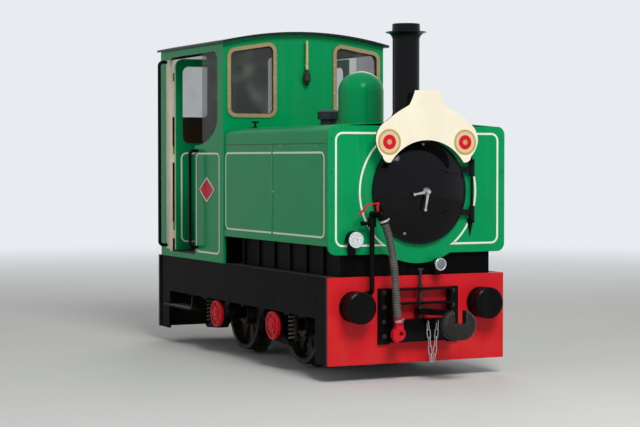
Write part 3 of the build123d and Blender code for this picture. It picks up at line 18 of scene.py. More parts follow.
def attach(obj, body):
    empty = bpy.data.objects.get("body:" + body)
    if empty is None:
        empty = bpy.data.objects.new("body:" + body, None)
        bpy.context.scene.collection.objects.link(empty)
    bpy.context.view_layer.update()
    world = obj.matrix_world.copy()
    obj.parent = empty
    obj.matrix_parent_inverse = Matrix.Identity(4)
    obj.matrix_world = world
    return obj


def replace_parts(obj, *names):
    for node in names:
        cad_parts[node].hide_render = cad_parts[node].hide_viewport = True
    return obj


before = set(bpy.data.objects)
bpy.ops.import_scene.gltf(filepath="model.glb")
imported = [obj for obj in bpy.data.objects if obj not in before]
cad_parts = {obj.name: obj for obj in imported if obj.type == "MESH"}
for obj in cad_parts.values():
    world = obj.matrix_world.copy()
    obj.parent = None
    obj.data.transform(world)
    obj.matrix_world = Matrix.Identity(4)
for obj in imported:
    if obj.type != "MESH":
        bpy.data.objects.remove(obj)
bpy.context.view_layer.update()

LOG = logging.getLogger("locomotive")
Colour = tuple[float, float, float]
Point = tuple[float, float, float]
Corners = tuple[tuple[float, float], tuple[float, float]]


class Body(Enum):
    """The frame's bodies that pieces ride on."""

    CHASSIS = "chassis"
    SMOKEBOX_DOOR = "smokebox_door"
    RIGHT_CAB_DOOR = "right_cab_door"
    LEFT_CAB_DOOR = "left_cab_door"


def paint_chip(red: int, green: int, blue: int) -> Colour:
    """Turns a screen colour into the linear one that a shader takes.

    Args:
        red, green, blue: Screen values from 0 to 255.

    Returns:
        The linear colour.
    """
    return tuple(c / 12.92 if c <= 0.04045 else ((c + 0.055) / 1.055) ** 2.4
                 for c in (red / 255, green / 255, blue / 255))


GREEN = paint_chip(0, 151, 88)
LINING = paint_chip(240, 246, 226)
BEAM_RED = paint_chip(222, 28, 38)
DISC_RED = paint_chip(214, 22, 42)
CREAM = paint_chip(240, 232, 204)
BOARD_CREAM = paint_chip(248, 240, 214)
BLACK = paint_chip(11, 11, 13)
SOOT = paint_chip(26, 25, 24)
CHASSIS_BLACK = paint_chip(9, 9, 10)
WORN_STEEL = paint_chip(122, 122, 120)
TAN = paint_chip(168, 148, 108)
GOLD = paint_chip(196, 164, 98)
FRAME_EDGE = paint_chip(56, 42, 28)
DUST = paint_chip(128, 112, 92)
FORWARD, BACKWARD = (1, 0, 0), (-1, 0, 0)
LEFTWARD, RIGHTWARD = (0, 1, 0), (0, -1, 0)
UPWARD = (0, 0, 1)
FAR = 9.0
SUNK = 0.0004
FACING_COSINE = 0.7
BONNET_SIDE_Y = 0.600
CAB_SIDE_Y = 0.610
FRONT_PLATE_X = 1.430


class Graph:
    """A node tree with short calls that add its nodes and join their sockets."""

    def __init__(self, tree: bpy.types.NodeTree) -> None:
        """Keeps the tree that the calls work on."""
        self.tree = tree

    def feed(self, socket: bpy.types.NodeSocket, value: Any) -> None:
        """Joins a socket to another, or sets its own value.

        Args:
            socket: The input to feed.
            value: Another node's output, or a plain value.
        """
        if isinstance(value, bpy.types.NodeSocket):
            self.tree.links.new(value, socket)
        elif socket.type == "RGBA" and len(value) == 3:
            socket.default_value = (*value, 1.0)
        else:
            socket.default_value = value

    def add(self, kind: str, sockets: dict[str | int, Any] | None = None, **settings: Any) -> bpy.types.Node:
        """Adds one node.

        Args:
            kind: The node's type without its ShaderNode prefix.
            sockets: Values or outputs for its inputs, by name or number.
            settings: The node's own properties.

        Returns:
            The new node.
        """
        node = self.tree.nodes.new("ShaderNode" + kind)
        for name, value in settings.items():
            setattr(node, name, value)
        for name, value in (sockets or {}).items():
            self.feed(node.inputs[name], value)
        return node

    def place(self) -> bpy.types.NodeSocket:
        """The point's place in the frame."""
        return self.add("TexCoord").outputs["Object"]

    def facing(self) -> bpy.types.NodeSocket:
        """The surface's direction in the frame."""
        return self.add("TexCoord").outputs["Normal"]

    def parts(self, vector: bpy.types.NodeSocket) -> bpy.types.NodeOutputs:
        """Splits a vector into X, Y and Z."""
        return self.add("SeparateXYZ", {0: vector}).outputs

    def sum(self, operation: str, a: Any, b: Any = 0.0, clamp: bool = False) -> bpy.types.NodeSocket:
        """One step of arithmetic.

        Args:
            operation: The Math node's operation.
            a, b: Values or outputs.
            clamp: True to keep the answer from 0 to 1.

        Returns:
            The answer's socket.
        """
        return self.add("Math", {0: a, 1: b}, operation=operation, use_clamp=clamp).outputs[0]

    def fade(self, value: Any, low: float, high: float) -> bpy.types.NodeSocket:
        """A smooth step from 0 to 1.

        Args:
            value: A value or an output.
            low, high: Where the step starts and where it ends.

        Returns:
            The step's socket.
        """
        node = self.add("MapRange", {"Value": value, "From Min": low, "From Max": high},
                        interpolation_type="SMOOTHSTEP")
        return node.outputs[0]

    def blend(self, amount: Any, a: Any, b: Any) -> bpy.types.NodeSocket:
        """Mixes two colours.

        Args:
            amount: 0 for the first colour, 1 for the second.
            a, b: Colours or outputs.

        Returns:
            The mixed colour's socket.
        """
        node = self.add("Mix", data_type="RGBA")
        self.feed(node.inputs["Factor"], amount)
        self.feed(node.inputs[6], a)
        self.feed(node.inputs[7], b)
        return node.outputs[2]

    def noise(self, scale: Any, detail: float = 3.0, vector: Any = None,
              stretch: Any = None) -> bpy.types.NodeSocket:
        """Smooth random values over the surface.

        Args:
            scale: Cells in a metre.
            detail: Octaves.
            vector: The point, or the place in the frame.
            stretch: Scales for X, Y and Z, to draw the pattern out.

        Returns:
            The value's socket, from 0 to 1.
        """
        point = vector or self.place()
        if stretch:
            point = self.add("Mapping", {"Vector": point, "Scale": stretch}).outputs[0]
        return self.add("TexNoise", {"Vector": point, "Scale": scale, "Detail": detail}).outputs["Fac"]


def new_group(name: str, inputs: dict[str, float], outputs: Sequence[str]) -> tuple[Graph, Any, Any]:
    """Starts a shader node group of plain values.

    Args:
        name: The group's name.
        inputs: Input names with their first values.
        outputs: Output names.

    Returns:
        The group's graph, its input sockets and its output node.
    """
    tree = bpy.data.node_groups.new(name, "ShaderNodeTree")
    for label, value in inputs.items():
        tree.interface.new_socket(label, in_out="INPUT", socket_type="NodeSocketFloat").default_value = value
    for label in outputs:
        tree.interface.new_socket(label, in_out="OUTPUT", socket_type="NodeSocketFloat")
    source, sink = tree.nodes.new("NodeGroupInput"), tree.nodes.new("NodeGroupOutput")
    return Graph(tree), source.outputs, sink


class Effects:
    """Shader node groups that several finishes share."""

    def __init__(self) -> None:
        """Builds each group once."""
        self.edge_wear = self.make_edge_wear()
        self.dust = self.make_dust()
        self.brushwork = self.make_brushwork()
        self.grain = self.make_grain()
        self.streaks = self.make_streaks()

    @staticmethod
    def make_edge_wear() -> bpy.types.NodeTree:
        """A mask along sharp edges, broken up so that wear is uneven. The deck and the coupler also use it
        for a painted highlight along their edges, and the window frames for a dark outline.

        Returns:
            The group.
        """
        graph, given, sink = new_group("edge wear", {"Radius": 0.004, "Scale": 60.0, "Amount": 0.5}, ["Mask"])
        soft = graph.add("Bevel", {"Radius": given["Radius"]}, samples=4).outputs[0]
        true = graph.add("NewGeometry").outputs["Normal"]
        dot = graph.add("VectorMath", {0: soft, 1: true}, operation="DOT_PRODUCT").outputs["Value"]
        edge = graph.fade(graph.sum("SUBTRACT", 1.0, dot), 0.02, 0.22)
        broken = graph.fade(graph.noise(given["Scale"], 4.0), 0.42, 0.62)
        mask = graph.sum("MULTIPLY", edge, broken)
        graph.feed(sink.inputs[0], graph.sum("MULTIPLY", mask, given["Amount"]))
        return graph.tree

    @staticmethod
    def make_dust() -> bpy.types.NodeTree:
        """A mask for road dust: thick low down and on ledges, thin higher up.

        Returns:
            The group.
        """
        graph, given, sink = new_group(
            "dust", {"Top": 0.6, "Amount": 0.5, "Ledges": 0.4, "Scale": 9.0}, ["Mask"])
        height = graph.parts(graph.place())["Z"]
        low = graph.sum("SUBTRACT", 1.0, graph.sum("DIVIDE", height, given["Top"]), clamp=True)
        up = graph.fade(graph.parts(graph.facing())["Z"], 0.6, 0.95)
        cover = graph.sum("ADD", low, graph.sum("MULTIPLY", up, given["Ledges"]), clamp=True)
        cloud = graph.fade(graph.noise(given["Scale"], 5.0), 0.3, 0.72)
        fine = graph.fade(graph.noise(180.0, 2.0), 0.2, 0.8)
        mixed = graph.sum("MULTIPLY", graph.sum("MULTIPLY", cover, cloud), graph.sum("ADD", 0.55, fine))
        graph.feed(sink.inputs[0], graph.sum("MULTIPLY", mixed, given["Amount"], clamp=True))
        return graph.tree

    @staticmethod
    def make_brushwork() -> bpy.types.NodeTree:
        """Slow colour drift and the faint ripple of coach paint.

        Returns:
            The group.
        """
        graph, given, sink = new_group("brushwork", {"Scale": 5.0, "Ripple": 90.0}, ["Tone", "Height"])
        slow = graph.noise(given["Scale"], 3.0)
        ripple = graph.noise(given["Ripple"], 2.0)
        sag = graph.noise(7.0, 1.0)
        graph.feed(sink.inputs[0], slow)
        graph.feed(sink.inputs[1], graph.sum("ADD", graph.sum("MULTIPLY", ripple, 0.25), sag))
        return graph.tree

    @staticmethod
    def make_grain() -> bpy.types.NodeTree:
        """Fine casting grain with a few larger pits.

        Returns:
            The group.
        """
        graph, given, sink = new_group("grain", {"Scale": 240.0}, ["Tone", "Height"])
        fine = graph.noise(given["Scale"], 4.0)
        pits = graph.fade(graph.noise(38.0, 3.0), 0.35, 0.6)
        graph.feed(sink.inputs[0], graph.noise(16.0, 4.0))
        graph.feed(sink.inputs[1], graph.sum("ADD", graph.sum("MULTIPLY", fine, 0.6), pits))
        return graph.tree

    @staticmethod
    def make_streaks() -> bpy.types.NodeTree:
        """Upright runs of old rain.

        Returns:
            The group.
        """
        graph, _, sink = new_group("streaks", {}, ["Mask"])
        runs = graph.noise(1.0, 3.0, stretch=(26.0, 26.0, 1.4))
        graph.feed(sink.inputs[0], graph.fade(runs, 0.5, 0.75))
        return graph.tree

    @staticmethod
    def use(graph: Graph, group: bpy.types.NodeTree, **values: float) -> bpy.types.NodeOutputs:
        """Places a group in a material.

        Args:
            graph: The material's graph.
            group: The group to place.
            values: Values for its inputs, in lower case with underscores.

        Returns:
            The placed group's outputs.
        """
        node = graph.add("Group", node_tree=group)
        for name, value in values.items():
            graph.feed(node.inputs[name.replace("_", " ").capitalize()], value)
        return node.outputs


@dataclass(frozen=True)
class Facing:
    """Another colour on the faces of a piece that look one way.

    Attributes:
        way: The direction the faces look.
        colour: Their colour.
        axis: 0, 1 or 2, the axis along which the place is tested.
        low, high: The stretch of that axis where the colour holds.
    """

    way: Point
    colour: Colour
    axis: int = 0
    low: float = -FAR
    high: float = FAR


@dataclass(frozen=True)
class Finish:
    """What every finish has: a name and a main colour."""

    name: str
    colour: Colour

    def start(self) -> tuple[bpy.types.Material, Graph, bpy.types.Node]:
        """Makes the material with its main shader.

        Returns:
            The material, its graph and its Principled BSDF.
        """
        material = bpy.data.materials.new(self.name)
        material.use_nodes = True
        graph = Graph(material.node_tree)
        return material, graph, material.node_tree.nodes["Principled BSDF"]

    def make(self, effects: Effects) -> bpy.types.Material:
        """Builds the material. Each finish has its own."""
        raise NotImplementedError


@dataclass(frozen=True)
class Paint(Finish):
    """Painted metal, from gloss coach paint to dull chassis black."""

    roughness: float = 0.22
    coat: float = 0.04
    drift: float = 0.12
    ripple: float = 0.0006
    wear: float = 0.35
    wear_colour: Colour = SOOT
    dust: float = 0.15
    dust_top: float = 0.7
    ledges: float = 0.25
    streak: float = 0.05
    round_edge: float = 0.0025
    shine: float = 0.07
    facings: tuple[Facing, ...] = ()

    def body_colour(self, graph: Graph) -> Any:
        """The colour before drift, wear and dust, with each facing's own colour.

        Args:
            graph: The material's graph.

        Returns:
            A colour or a colour's socket.
        """
        colour: Any = self.colour
        for facing in self.facings:
            dot = graph.add("VectorMath", {0: graph.facing(), 1: facing.way}, operation="DOT_PRODUCT")
            where = graph.parts(graph.place())[facing.axis]
            inside = graph.sum("MULTIPLY", graph.sum("GREATER_THAN", where, facing.low),
                               graph.sum("LESS_THAN", where, facing.high))
            turned = graph.sum("GREATER_THAN", dot.outputs["Value"], FACING_COSINE)
            mask = graph.sum("MULTIPLY", turned, inside)
            colour = graph.blend(mask, colour, facing.colour)
        return colour

    def make(self, effects: Effects) -> bpy.types.Material:
        """Builds the painted material.

        Args:
            effects: The shared node groups.

        Returns:
            The material.
        """
        material, graph, shader = self.start()
        brush = effects.use(graph, effects.brushwork)
        tone = graph.sum("MULTIPLY_ADD", brush["Tone"], 2 * self.drift)
        tone.node.inputs[2].default_value = 1 - self.drift
        toned = graph.add("Mix", data_type="RGBA", blend_type="MULTIPLY")
        graph.feed(toned.inputs["Factor"], 1.0)
        graph.feed(toned.inputs[6], self.body_colour(graph))
        graph.feed(toned.inputs[7], graph.add("CombineXYZ", {0: tone, 1: tone, 2: tone}).outputs[0])
        edge_mark = effects.use(graph, effects.edge_wear, amount=self.wear, radius=self.round_edge * 1.6)
        dusty = effects.use(graph, effects.dust, top=self.dust_top, amount=self.dust, ledges=self.ledges)
        runs = effects.use(graph, effects.streaks)
        dirt = graph.sum("ADD", dusty["Mask"], graph.sum("MULTIPLY", runs["Mask"], self.streak), clamp=True)
        # The edge mask mixes in the wear colour: worn paint on most finishes, worn paint with a painted
        # highlight on the deck's and the coupler's edges, and a dark outline round the window frames.
        colour = graph.blend(edge_mark["Mask"], toned.outputs[2], self.wear_colour)
        graph.feed(shader.inputs["Base Color"], graph.blend(dirt, colour, DUST))
        rough = graph.sum("MULTIPLY_ADD", dirt, 0.6)
        rough.node.inputs[2].default_value = self.roughness
        rubbed = graph.sum("MULTIPLY", edge_mark["Mask"], 0.3)
        graph.feed(shader.inputs["Roughness"], graph.sum("ADD", rough, rubbed))
        coat = graph.sum("MULTIPLY_ADD", dirt, -self.coat, clamp=True)
        coat.node.inputs[2].default_value = self.coat
        graph.feed(shader.inputs["Coat Weight"], coat)
        shader.inputs["Coat Roughness"].default_value = 0.06
        shader.inputs["Specular IOR Level"].default_value = self.shine
        edge = graph.add("Bevel", {"Radius": self.round_edge}, samples=4)
        bump = graph.add("Bump", {"Height": brush["Height"], "Distance": self.ripple, "Strength": 0.5,
                                  "Normal": edge.outputs[0]})
        graph.feed(shader.inputs["Normal"], bump.outputs[0])
        return material


@dataclass(frozen=True)
class Metal(Finish):
    """Bare or plated metal."""

    roughness: float = 0.35
    dirt_colour: Colour = SOOT
    dirt: float = 0.3
    dust: float = 0.2
    dust_top: float = 0.6
    bump: float = 0.0004
    round_edge: float = 0.0015

    def make(self, effects: Effects) -> bpy.types.Material:
        """Builds the metal.

        Args:
            effects: The shared node groups.

        Returns:
            The material.
        """
        material, graph, shader = self.start()
        grain = effects.use(graph, effects.grain)
        stain = graph.sum("MULTIPLY", graph.fade(grain["Tone"], 0.4, 0.7), self.dirt)
        dusty = effects.use(graph, effects.dust, top=self.dust_top, amount=self.dust)
        dull = graph.sum("MAXIMUM", stain, dusty["Mask"])
        stained = graph.blend(stain, self.colour, self.dirt_colour)
        graph.feed(shader.inputs["Base Color"], graph.blend(dusty["Mask"], stained, DUST))
        graph.feed(shader.inputs["Metallic"], graph.sum("SUBTRACT", 1.0, dull, clamp=True))
        rough = graph.sum("MULTIPLY_ADD", dull, 0.5)
        rough.node.inputs[2].default_value = self.roughness
        graph.feed(shader.inputs["Roughness"], rough)
        edge = graph.add("Bevel", {"Radius": self.round_edge}, samples=4)
        bump = graph.add("Bump", {"Height": grain["Height"], "Distance": self.bump, "Strength": 0.4,
                                  "Normal": edge.outputs[0]})
        graph.feed(shader.inputs["Normal"], bump.outputs[0])
        return material


@dataclass(frozen=True)
class Pane(Finish):
    """Window glass with a little dust on it."""

    smear_colour: Colour = paint_chip(120, 120, 116)
    alpha: float = 0.34
    index: float = 1.5

    def make(self, effects: Effects) -> bpy.types.Material:
        """Builds the glass.

        Args:
            effects: The shared node groups; not used.

        Returns:
            The material.
        """
        material, graph, shader = self.start()
        smear = graph.fade(graph.noise(6.0, 4.0), 0.45, 0.8)
        graph.feed(shader.inputs["Base Color"], graph.blend(smear, self.colour, self.smear_colour))
        graph.feed(shader.inputs["Roughness"], graph.sum("MULTIPLY_ADD", smear, 0.12))
        shader.inputs["Metallic"].default_value = 0.0
        shader.inputs["IOR"].default_value = self.index
        alpha = graph.sum("MULTIPLY_ADD", smear, 0.06)
        alpha.node.inputs[2].default_value = self.alpha
        graph.feed(shader.inputs["Alpha"], alpha)
        return material


@dataclass(frozen=True)
class Rubber(Finish):
    """Hose and seal rubber."""

    roughness: float = 0.45
    grain: float = 420.0
    bump: float = 0.0004

    def make(self, effects: Effects) -> bpy.types.Material:
        """Builds the rubber.

        Args:
            effects: The shared node groups.

        Returns:
            The material.
        """
        material, graph, shader = self.start()
        grain = effects.use(graph, effects.grain, scale=self.grain)
        chalk = graph.fade(grain["Tone"], 0.35, 0.75)
        pale = tuple(min(1.0, c * 1.7 + 0.02) for c in self.colour)
        graph.feed(shader.inputs["Base Color"], graph.blend(chalk, self.colour, pale))
        rough = graph.sum("MULTIPLY_ADD", chalk, 0.25)
        rough.node.inputs[2].default_value = self.roughness
        graph.feed(shader.inputs["Roughness"], rough)
        bump = graph.add("Bump", {"Height": grain["Height"], "Distance": self.bump, "Strength": 0.5})
        graph.feed(shader.inputs["Normal"], bump.outputs[0])
        return material


@dataclass(frozen=True)
class Boards(Finish):
    """Worn boards laid along the cab floor."""

    worn_colour: Colour = paint_chip(112, 100, 84)
    board: float = 0.12
    joint: float = 0.004
    bump: float = 0.003

    def make(self, effects: Effects) -> bpy.types.Material:
        """Builds the boards.

        Args:
            effects: The shared node groups; not used.

        Returns:
            The material.
        """
        material, graph, shader = self.start()
        across = graph.parts(graph.place())["Y"]
        gap = graph.sum("PINGPONG", across, self.board / 2)
        joint = graph.fade(gap, 0.0, self.joint)
        wood = graph.noise(1.0, 6.0, stretch=(4.0, 70.0, 70.0))
        colour = graph.blend(graph.fade(wood, 0.3, 0.7), self.colour, self.worn_colour)
        graph.feed(shader.inputs["Base Color"], graph.blend(joint, SOOT, colour))
        graph.feed(shader.inputs["Roughness"], graph.sum("MULTIPLY_ADD", wood, 0.3))
        height = graph.sum("MULTIPLY", joint, graph.sum("ADD", 0.8, graph.sum("MULTIPLY", wood, 0.2)))
        bump = graph.add("Bump", {"Height": height, "Distance": self.bump, "Strength": 0.7})
        graph.feed(shader.inputs["Normal"], bump.outputs[0])
        return material


@dataclass(frozen=True)
class SeatCloth(Finish):
    """Black leathercloth on the stool."""

    rubbed_colour: Colour = paint_chip(58, 56, 54)
    roughness: float = 0.42
    cells: float = 420.0
    bump: float = 0.0008

    def make(self, effects: Effects) -> bpy.types.Material:
        """Builds the leathercloth.

        Args:
            effects: The shared node groups; not used.

        Returns:
            The material.
        """
        material, graph, shader = self.start()
        cells = graph.add("TexVoronoi", {"Vector": graph.place(), "Scale": self.cells}).outputs["Distance"]
        rub = graph.fade(graph.noise(14.0, 3.0), 0.4, 0.75)
        graph.feed(shader.inputs["Base Color"], graph.blend(rub, self.colour, self.rubbed_colour))
        rough = graph.sum("MULTIPLY_ADD", rub, 0.2)
        rough.node.inputs[2].default_value = self.roughness
        graph.feed(shader.inputs["Roughness"], rough)
        bump = graph.add("Bump", {"Height": cells, "Distance": self.bump, "Strength": 0.4})
        graph.feed(shader.inputs["Normal"], bump.outputs[0])
        return material


@dataclass(frozen=True)
class LampGlass(Finish):
    """A white moulded lamp lens with fine prisms."""

    cells: float = 70.0
    prism: float = 0.003
    coat: float = 0.3

    def make(self, effects: Effects) -> bpy.types.Material:
        """Builds the lens.

        Args:
            effects: The shared node groups; not used.

        Returns:
            The material.
        """
        material, graph, shader = self.start()
        spread = graph.noise(30.0, 2.0)
        cells = graph.add("TexVoronoi", {"Vector": graph.place(), "Scale": self.cells},
                          feature="DISTANCE_TO_EDGE")
        pale = tuple(min(1.0, c * 1.25) for c in self.colour)
        deep = tuple(c * 0.65 for c in self.colour)
        moulded = graph.blend(graph.fade(cells.outputs["Distance"], 0.0, 0.16), deep,
                              graph.blend(spread, self.colour, pale))
        graph.feed(shader.inputs["Base Color"], moulded)
        graph.feed(shader.inputs["Roughness"], graph.sum("MULTIPLY_ADD", spread, 0.15))
        shader.inputs["Coat Weight"].default_value = self.coat
        across = graph.parts(graph.place())["Y"]
        prism = graph.sum("PINGPONG", across, self.prism)
        bump = graph.add("Bump", {"Height": prism, "Distance": 0.4, "Strength": 0.5})
        graph.feed(shader.inputs["Normal"], bump.outputs[0])
        return material


EFFECTS = Effects()


class Palette:
    """Every finish of the locomotive, built once."""

    def __init__(self) -> None:
        """Builds the materials by name."""
        inside = paint_chip(92, 74, 58)
        outside = (Facing(LEFTWARD, GREEN, 1, 0.605), Facing(RIGHTWARD, GREEN, 1, -FAR, -0.605))
        ends = (Facing(FORWARD, GREEN), Facing(BACKWARD, GREEN))
        door_post = Facing(FORWARD, CREAM, 0, -1.26, -1.10)
        end_walls = (Facing(FORWARD, GREEN, 0, -0.21), Facing(BACKWARD, GREEN, 0, -FAR, -1.355),
                     Facing(FORWARD, CHASSIS_BLACK, 2, -FAR, 0.815))
        beams = (Facing(FORWARD, BEAM_RED, 0, 1.4), Facing(BACKWARD, BEAM_RED, 0, -FAR, -1.4))
        rubbed = paint_chip(56, 56, 58)
        chassis = {"roughness": 0.5, "coat": 0.0, "shine": 0.03, "dust": 0.05}
        plate = {"roughness": 0.35, "coat": 0.06, "dust": 0.05, "wear": 0.0, "streak": 0.0}
        finishes = [
            Paint("green_paint", GREEN, dust=0.08, wear=0.12),
            Paint("cab_paint", inside, facings=(*outside, *ends, door_post), dust=0.08, wear=0.1),
            Paint("cab_end_paint", inside, facings=end_walls, wear=0.1),
            Paint("cab_door_paint", GREEN, dust=0.05, wear=0.1,
                  facings=(Facing(RIGHTWARD, CREAM, 0, -1.20, -1.15),)),
            Paint("roof_paint", paint_chip(24, 38, 36), roughness=0.4, coat=0.05, shine=0.12, dust=0.1),
            Paint("beam_paint", BLACK, roughness=0.28, coat=0.08, shine=0.1, dust=0.15, wear=0.1, streak=0.0,
                  facings=beams),
            Paint("red_paint", DISC_RED, roughness=0.3, coat=0.08, dust=0.08, streak=0.0, wear=0.3),
            Paint("gloss_black", BLACK, roughness=0.2, coat=0.05, shine=0.04, dust=0.02, wear=0.12,
                  wear_colour=rubbed, streak=0.02),
            Paint("polished_black", BLACK, roughness=0.08, coat=0.11, shine=0.08, dust=0.02, wear=0.12,
                  wear_colour=rubbed, streak=0.0),
            # The filler cap's upward faces are lighter: a painted highlight on its top.
            Paint("filler_paint", paint_chip(56, 60, 66), roughness=0.35,
                  facings=(Facing(UPWARD, paint_chip(92, 97, 104)),)),
            Paint("frame_black", CHASSIS_BLACK, **chassis, dust_top=0.6, ledges=0.15, wear=0.25,
                  wear_colour=paint_chip(60, 57, 54), streak=0.02),
            # The deck's upward faces are paler as a painted highlight along its top; its pale edges are
            # rubbed paint and also a painted highlight line.
            Paint("deck_black", CHASSIS_BLACK, **chassis, streak=0.0, wear=0.8,
                  wear_colour=paint_chip(92, 92, 94), facings=(Facing(UPWARD, paint_chip(62, 63, 66)),)),
            Paint("step_black", CHASSIS_BLACK, **{**chassis, "shine": 0.05, "dust": 0.1}, streak=0.0,
                  wear=0.8, wear_colour=WORN_STEEL, facings=(Facing(UPWARD, WORN_STEEL),)),
            # The coupler's pale edges are worn metal and also a painted highlight where its rims catch the
            # light.
            Paint("coupler_paint", paint_chip(30, 31, 30), roughness=0.45, coat=0.0, shine=0.2, dust=0.1,
                  streak=0.0, wear=0.9, wear_colour=paint_chip(150, 150, 146), round_edge=0.004),
            Paint("headboard_paint", BLACK, **plate,
                  facings=(Facing(FORWARD, BOARD_CREAM), Facing(BACKWARD, BOARD_CREAM))),
            Paint("board_paint", BOARD_CREAM, **plate),
            Paint("gold_paint", GOLD, **plate),
            Paint("pale_gold_paint", paint_chip(222, 200, 158), **plate),
            Paint("disc_red_paint", DISC_RED, **{**plate, "roughness": 0.3}),
            Paint("lining_paint", LINING, **{**plate, "dust": 0.1, "streak": 0.03}),
            Paint("cream_paint", CREAM, **{**plate, "dust": 0.1, "wear": 0.3, "streak": 0.1}),
            # At full strength the edge mask darkens every edge of the frames to the edge brown, a dark
            # outline round each frame.
            Paint("window_frame_paint", FRAME_EDGE, roughness=0.4, coat=0.05, dust=0.05, wear=1.0,
                  wear_colour=FRAME_EDGE, round_edge=0.0045,
                  facings=(Facing(FORWARD, TAN), Facing(BACKWARD, TAN))),
            Paint("inside_paint", inside, roughness=0.5, coat=0.1),
            Paint("engine_paint", paint_chip(70, 84, 78), roughness=0.5, coat=0.1, dust=0.3, dust_top=1.3),
            Metal("steel", paint_chip(150, 148, 144), roughness=0.4, dirt=0.5),
            Metal("dark_steel", paint_chip(64, 62, 58), roughness=0.5, dirt=0.7),
            Metal("spring_steel", paint_chip(84, 78, 70), roughness=0.5, dirt=0.85, dust=0.15),
            Metal("wheel_iron", paint_chip(44, 41, 38), roughness=0.5, dirt=0.9, dust=0.15, dust_top=0.5),
            Metal("zinc", paint_chip(196, 198, 198), roughness=0.32, dirt=0.2, dust=0.1),
            Metal("chrome", paint_chip(226, 226, 228), roughness=0.1, dirt=0.1, dust=0.05, bump=0.0001),
            Metal("brass", paint_chip(206, 184, 130), roughness=0.28, dirt=0.2,
                  dirt_colour=paint_chip(74, 50, 24)),
            Pane("pane", paint_chip(70, 72, 72)),
            Rubber("hose_rubber", paint_chip(62, 62, 60)),
            Rubber("seal_rubber", paint_chip(22, 22, 22)),
            Boards("floor_boards", paint_chip(84, 68, 50)),
            SeatCloth("seat_cloth", paint_chip(26, 26, 27)),
            LampGlass("lamp_glass", paint_chip(214, 222, 226)),
            LampGlass("spot_glass", paint_chip(116, 122, 126)),
        ]
        self.materials = {finish.name: finish.make(EFFECTS) for finish in finishes}

    def __getitem__(self, name: str) -> bpy.types.Material:
        """The material of that name."""
        return self.materials[name]


NODE_FINISH = {
    "green_paint": ["bonnet", "front_plate", "dome"],
    "cab_paint": ["cab_left_side", "cab_right_side"],
    "cab_end_paint": ["cab_front_wall", "cab_rear_wall"],
    "cab_door_paint": ["left_cab_door", "right_cab_door"],
    "roof_paint": ["cab_roof"],
    "beam_paint": ["buffer_beams"],
    "red_paint": ["axlebox_covers", "hose_coupling", "valve_lever"],
    "polished_black": ["smokebox_door", "chimney"],
    "filler_paint": ["filler_cap"],
    "gloss_black": ["smokebox_hinge", "headboard_bracket", "handrails",
                    "brake_standpipe", "marker_lamp", "coupling_pockets", "buffers", "spot_lamp"],
    "frame_black": ["frame_plates", "frame_stretchers", "axlebox_arms", "arm_brackets", "brake_gear",
                    "lower_hood", "front_drawbar", "rear_drawbar", "radiator", "stool_post", "front_axle",
                    "rear_axle"],
    "headboard_paint": ["headboard"],
    "window_frame_paint": ["window_frames"],
    "inside_paint": ["control_desk"],
    "engine_paint": ["engine_block", "transmission"],
    "spring_steel": ["coil_springs"],
    "dark_steel": ["coupling_pins", "whistle_valve"],
    "cream_paint": ["cab_door_hinges"],
    "coupler_paint": ["front_coupler", "rear_coupler"],
    "deck_black": ["deck"],
    "step_black": ["cab_steps"],
    "wheel_iron": ["front_wheelset", "rear_wheelset"],
    "zinc": ["coupling_chain", "smokebox_handles"],
    "brass": ["whistle"],
    "pane": ["window_panes"],
    "floor_boards": ["cab_floor"],
    "seat_cloth": ["stool_seat"],
    "lamp_glass": ["marker_lamp_lens"],
}


def dress_nodes(palette: Palette) -> None:
    """Gives every frame node its finish.

    Args:
        palette: The finishes.
    """
    for finish, nodes in NODE_FINISH.items():
        for name in nodes:
            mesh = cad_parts[name].data
            mesh.materials.clear()
            mesh.materials.append(palette[finish])
    bare = sorted(set(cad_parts) - {n for nodes in NODE_FINISH.values() for n in nodes} - {"brake_hose"})
    LOG.info("frame nodes dressed, without a finish: %s", bare or "none")


def finish_piece(name: str, bm: bmesh.types.BMesh, material: bpy.types.Material, body: Body,
                 sharp: float = 35.0) -> bpy.types.Object:
    """Turns a bmesh into a piece that rides on a body.

    Args:
        name: The piece's name.
        bm: Its shape, which is freed.
        material: Its finish.
        body: The body it rides on.
        sharp: Edges that turn by more degrees than this stay sharp.

    Returns:
        The piece.
    """
    bmesh.ops.remove_doubles(bm, verts=bm.verts, dist=1e-6)
    bmesh.ops.recalc_face_normals(bm, faces=bm.faces)
    for face in bm.faces:
        face.smooth = True
    for edge in bm.edges:
        edge.smooth = edge.calc_face_angle(0.0) < math.radians(sharp)
    mesh = bpy.data.meshes.new(name)
    bm.to_mesh(mesh)
    bm.free()
    mesh.materials.append(material)
    piece = bpy.data.objects.new(name, mesh)
    bpy.context.scene.collection.objects.link(piece)
    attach(piece, body.value)
    LOG.info("%s: %d faces on %s", name, len(mesh.polygons), body.value)
    return piece


@dataclass
class PhotoCamera:
    """The camera at the photograph's place, turn and angle of view."""

    place: Point = (10.6167, -5.1140, 1.3387)
    forward: Point = (-0.89951, 0.43575, -0.03164)
    up: Point = (-0.02849, 0.01376, 0.99950)
    lens: float = 97.37
    sensor: float = 36.0
    reach: float = 200.0

    def build(self) -> None:
        """Makes the camera and sets it as the scene's."""
        data = bpy.data.cameras.new("camera")
        data.lens, data.sensor_width = self.lens, self.sensor
        data.clip_end = self.reach
        camera = bpy.data.objects.new("camera", data)
        forward, up = Vector(self.forward).normalized(), Vector(self.up)
        right = forward.cross(up).normalized()
        up = right.cross(forward)
        turn = Matrix((right, up, -forward)).transposed().to_4x4()
        camera.matrix_world = Matrix.Translation(self.place) @ turn
        bpy.context.scene.collection.objects.link(camera)
        bpy.context.scene.camera = camera


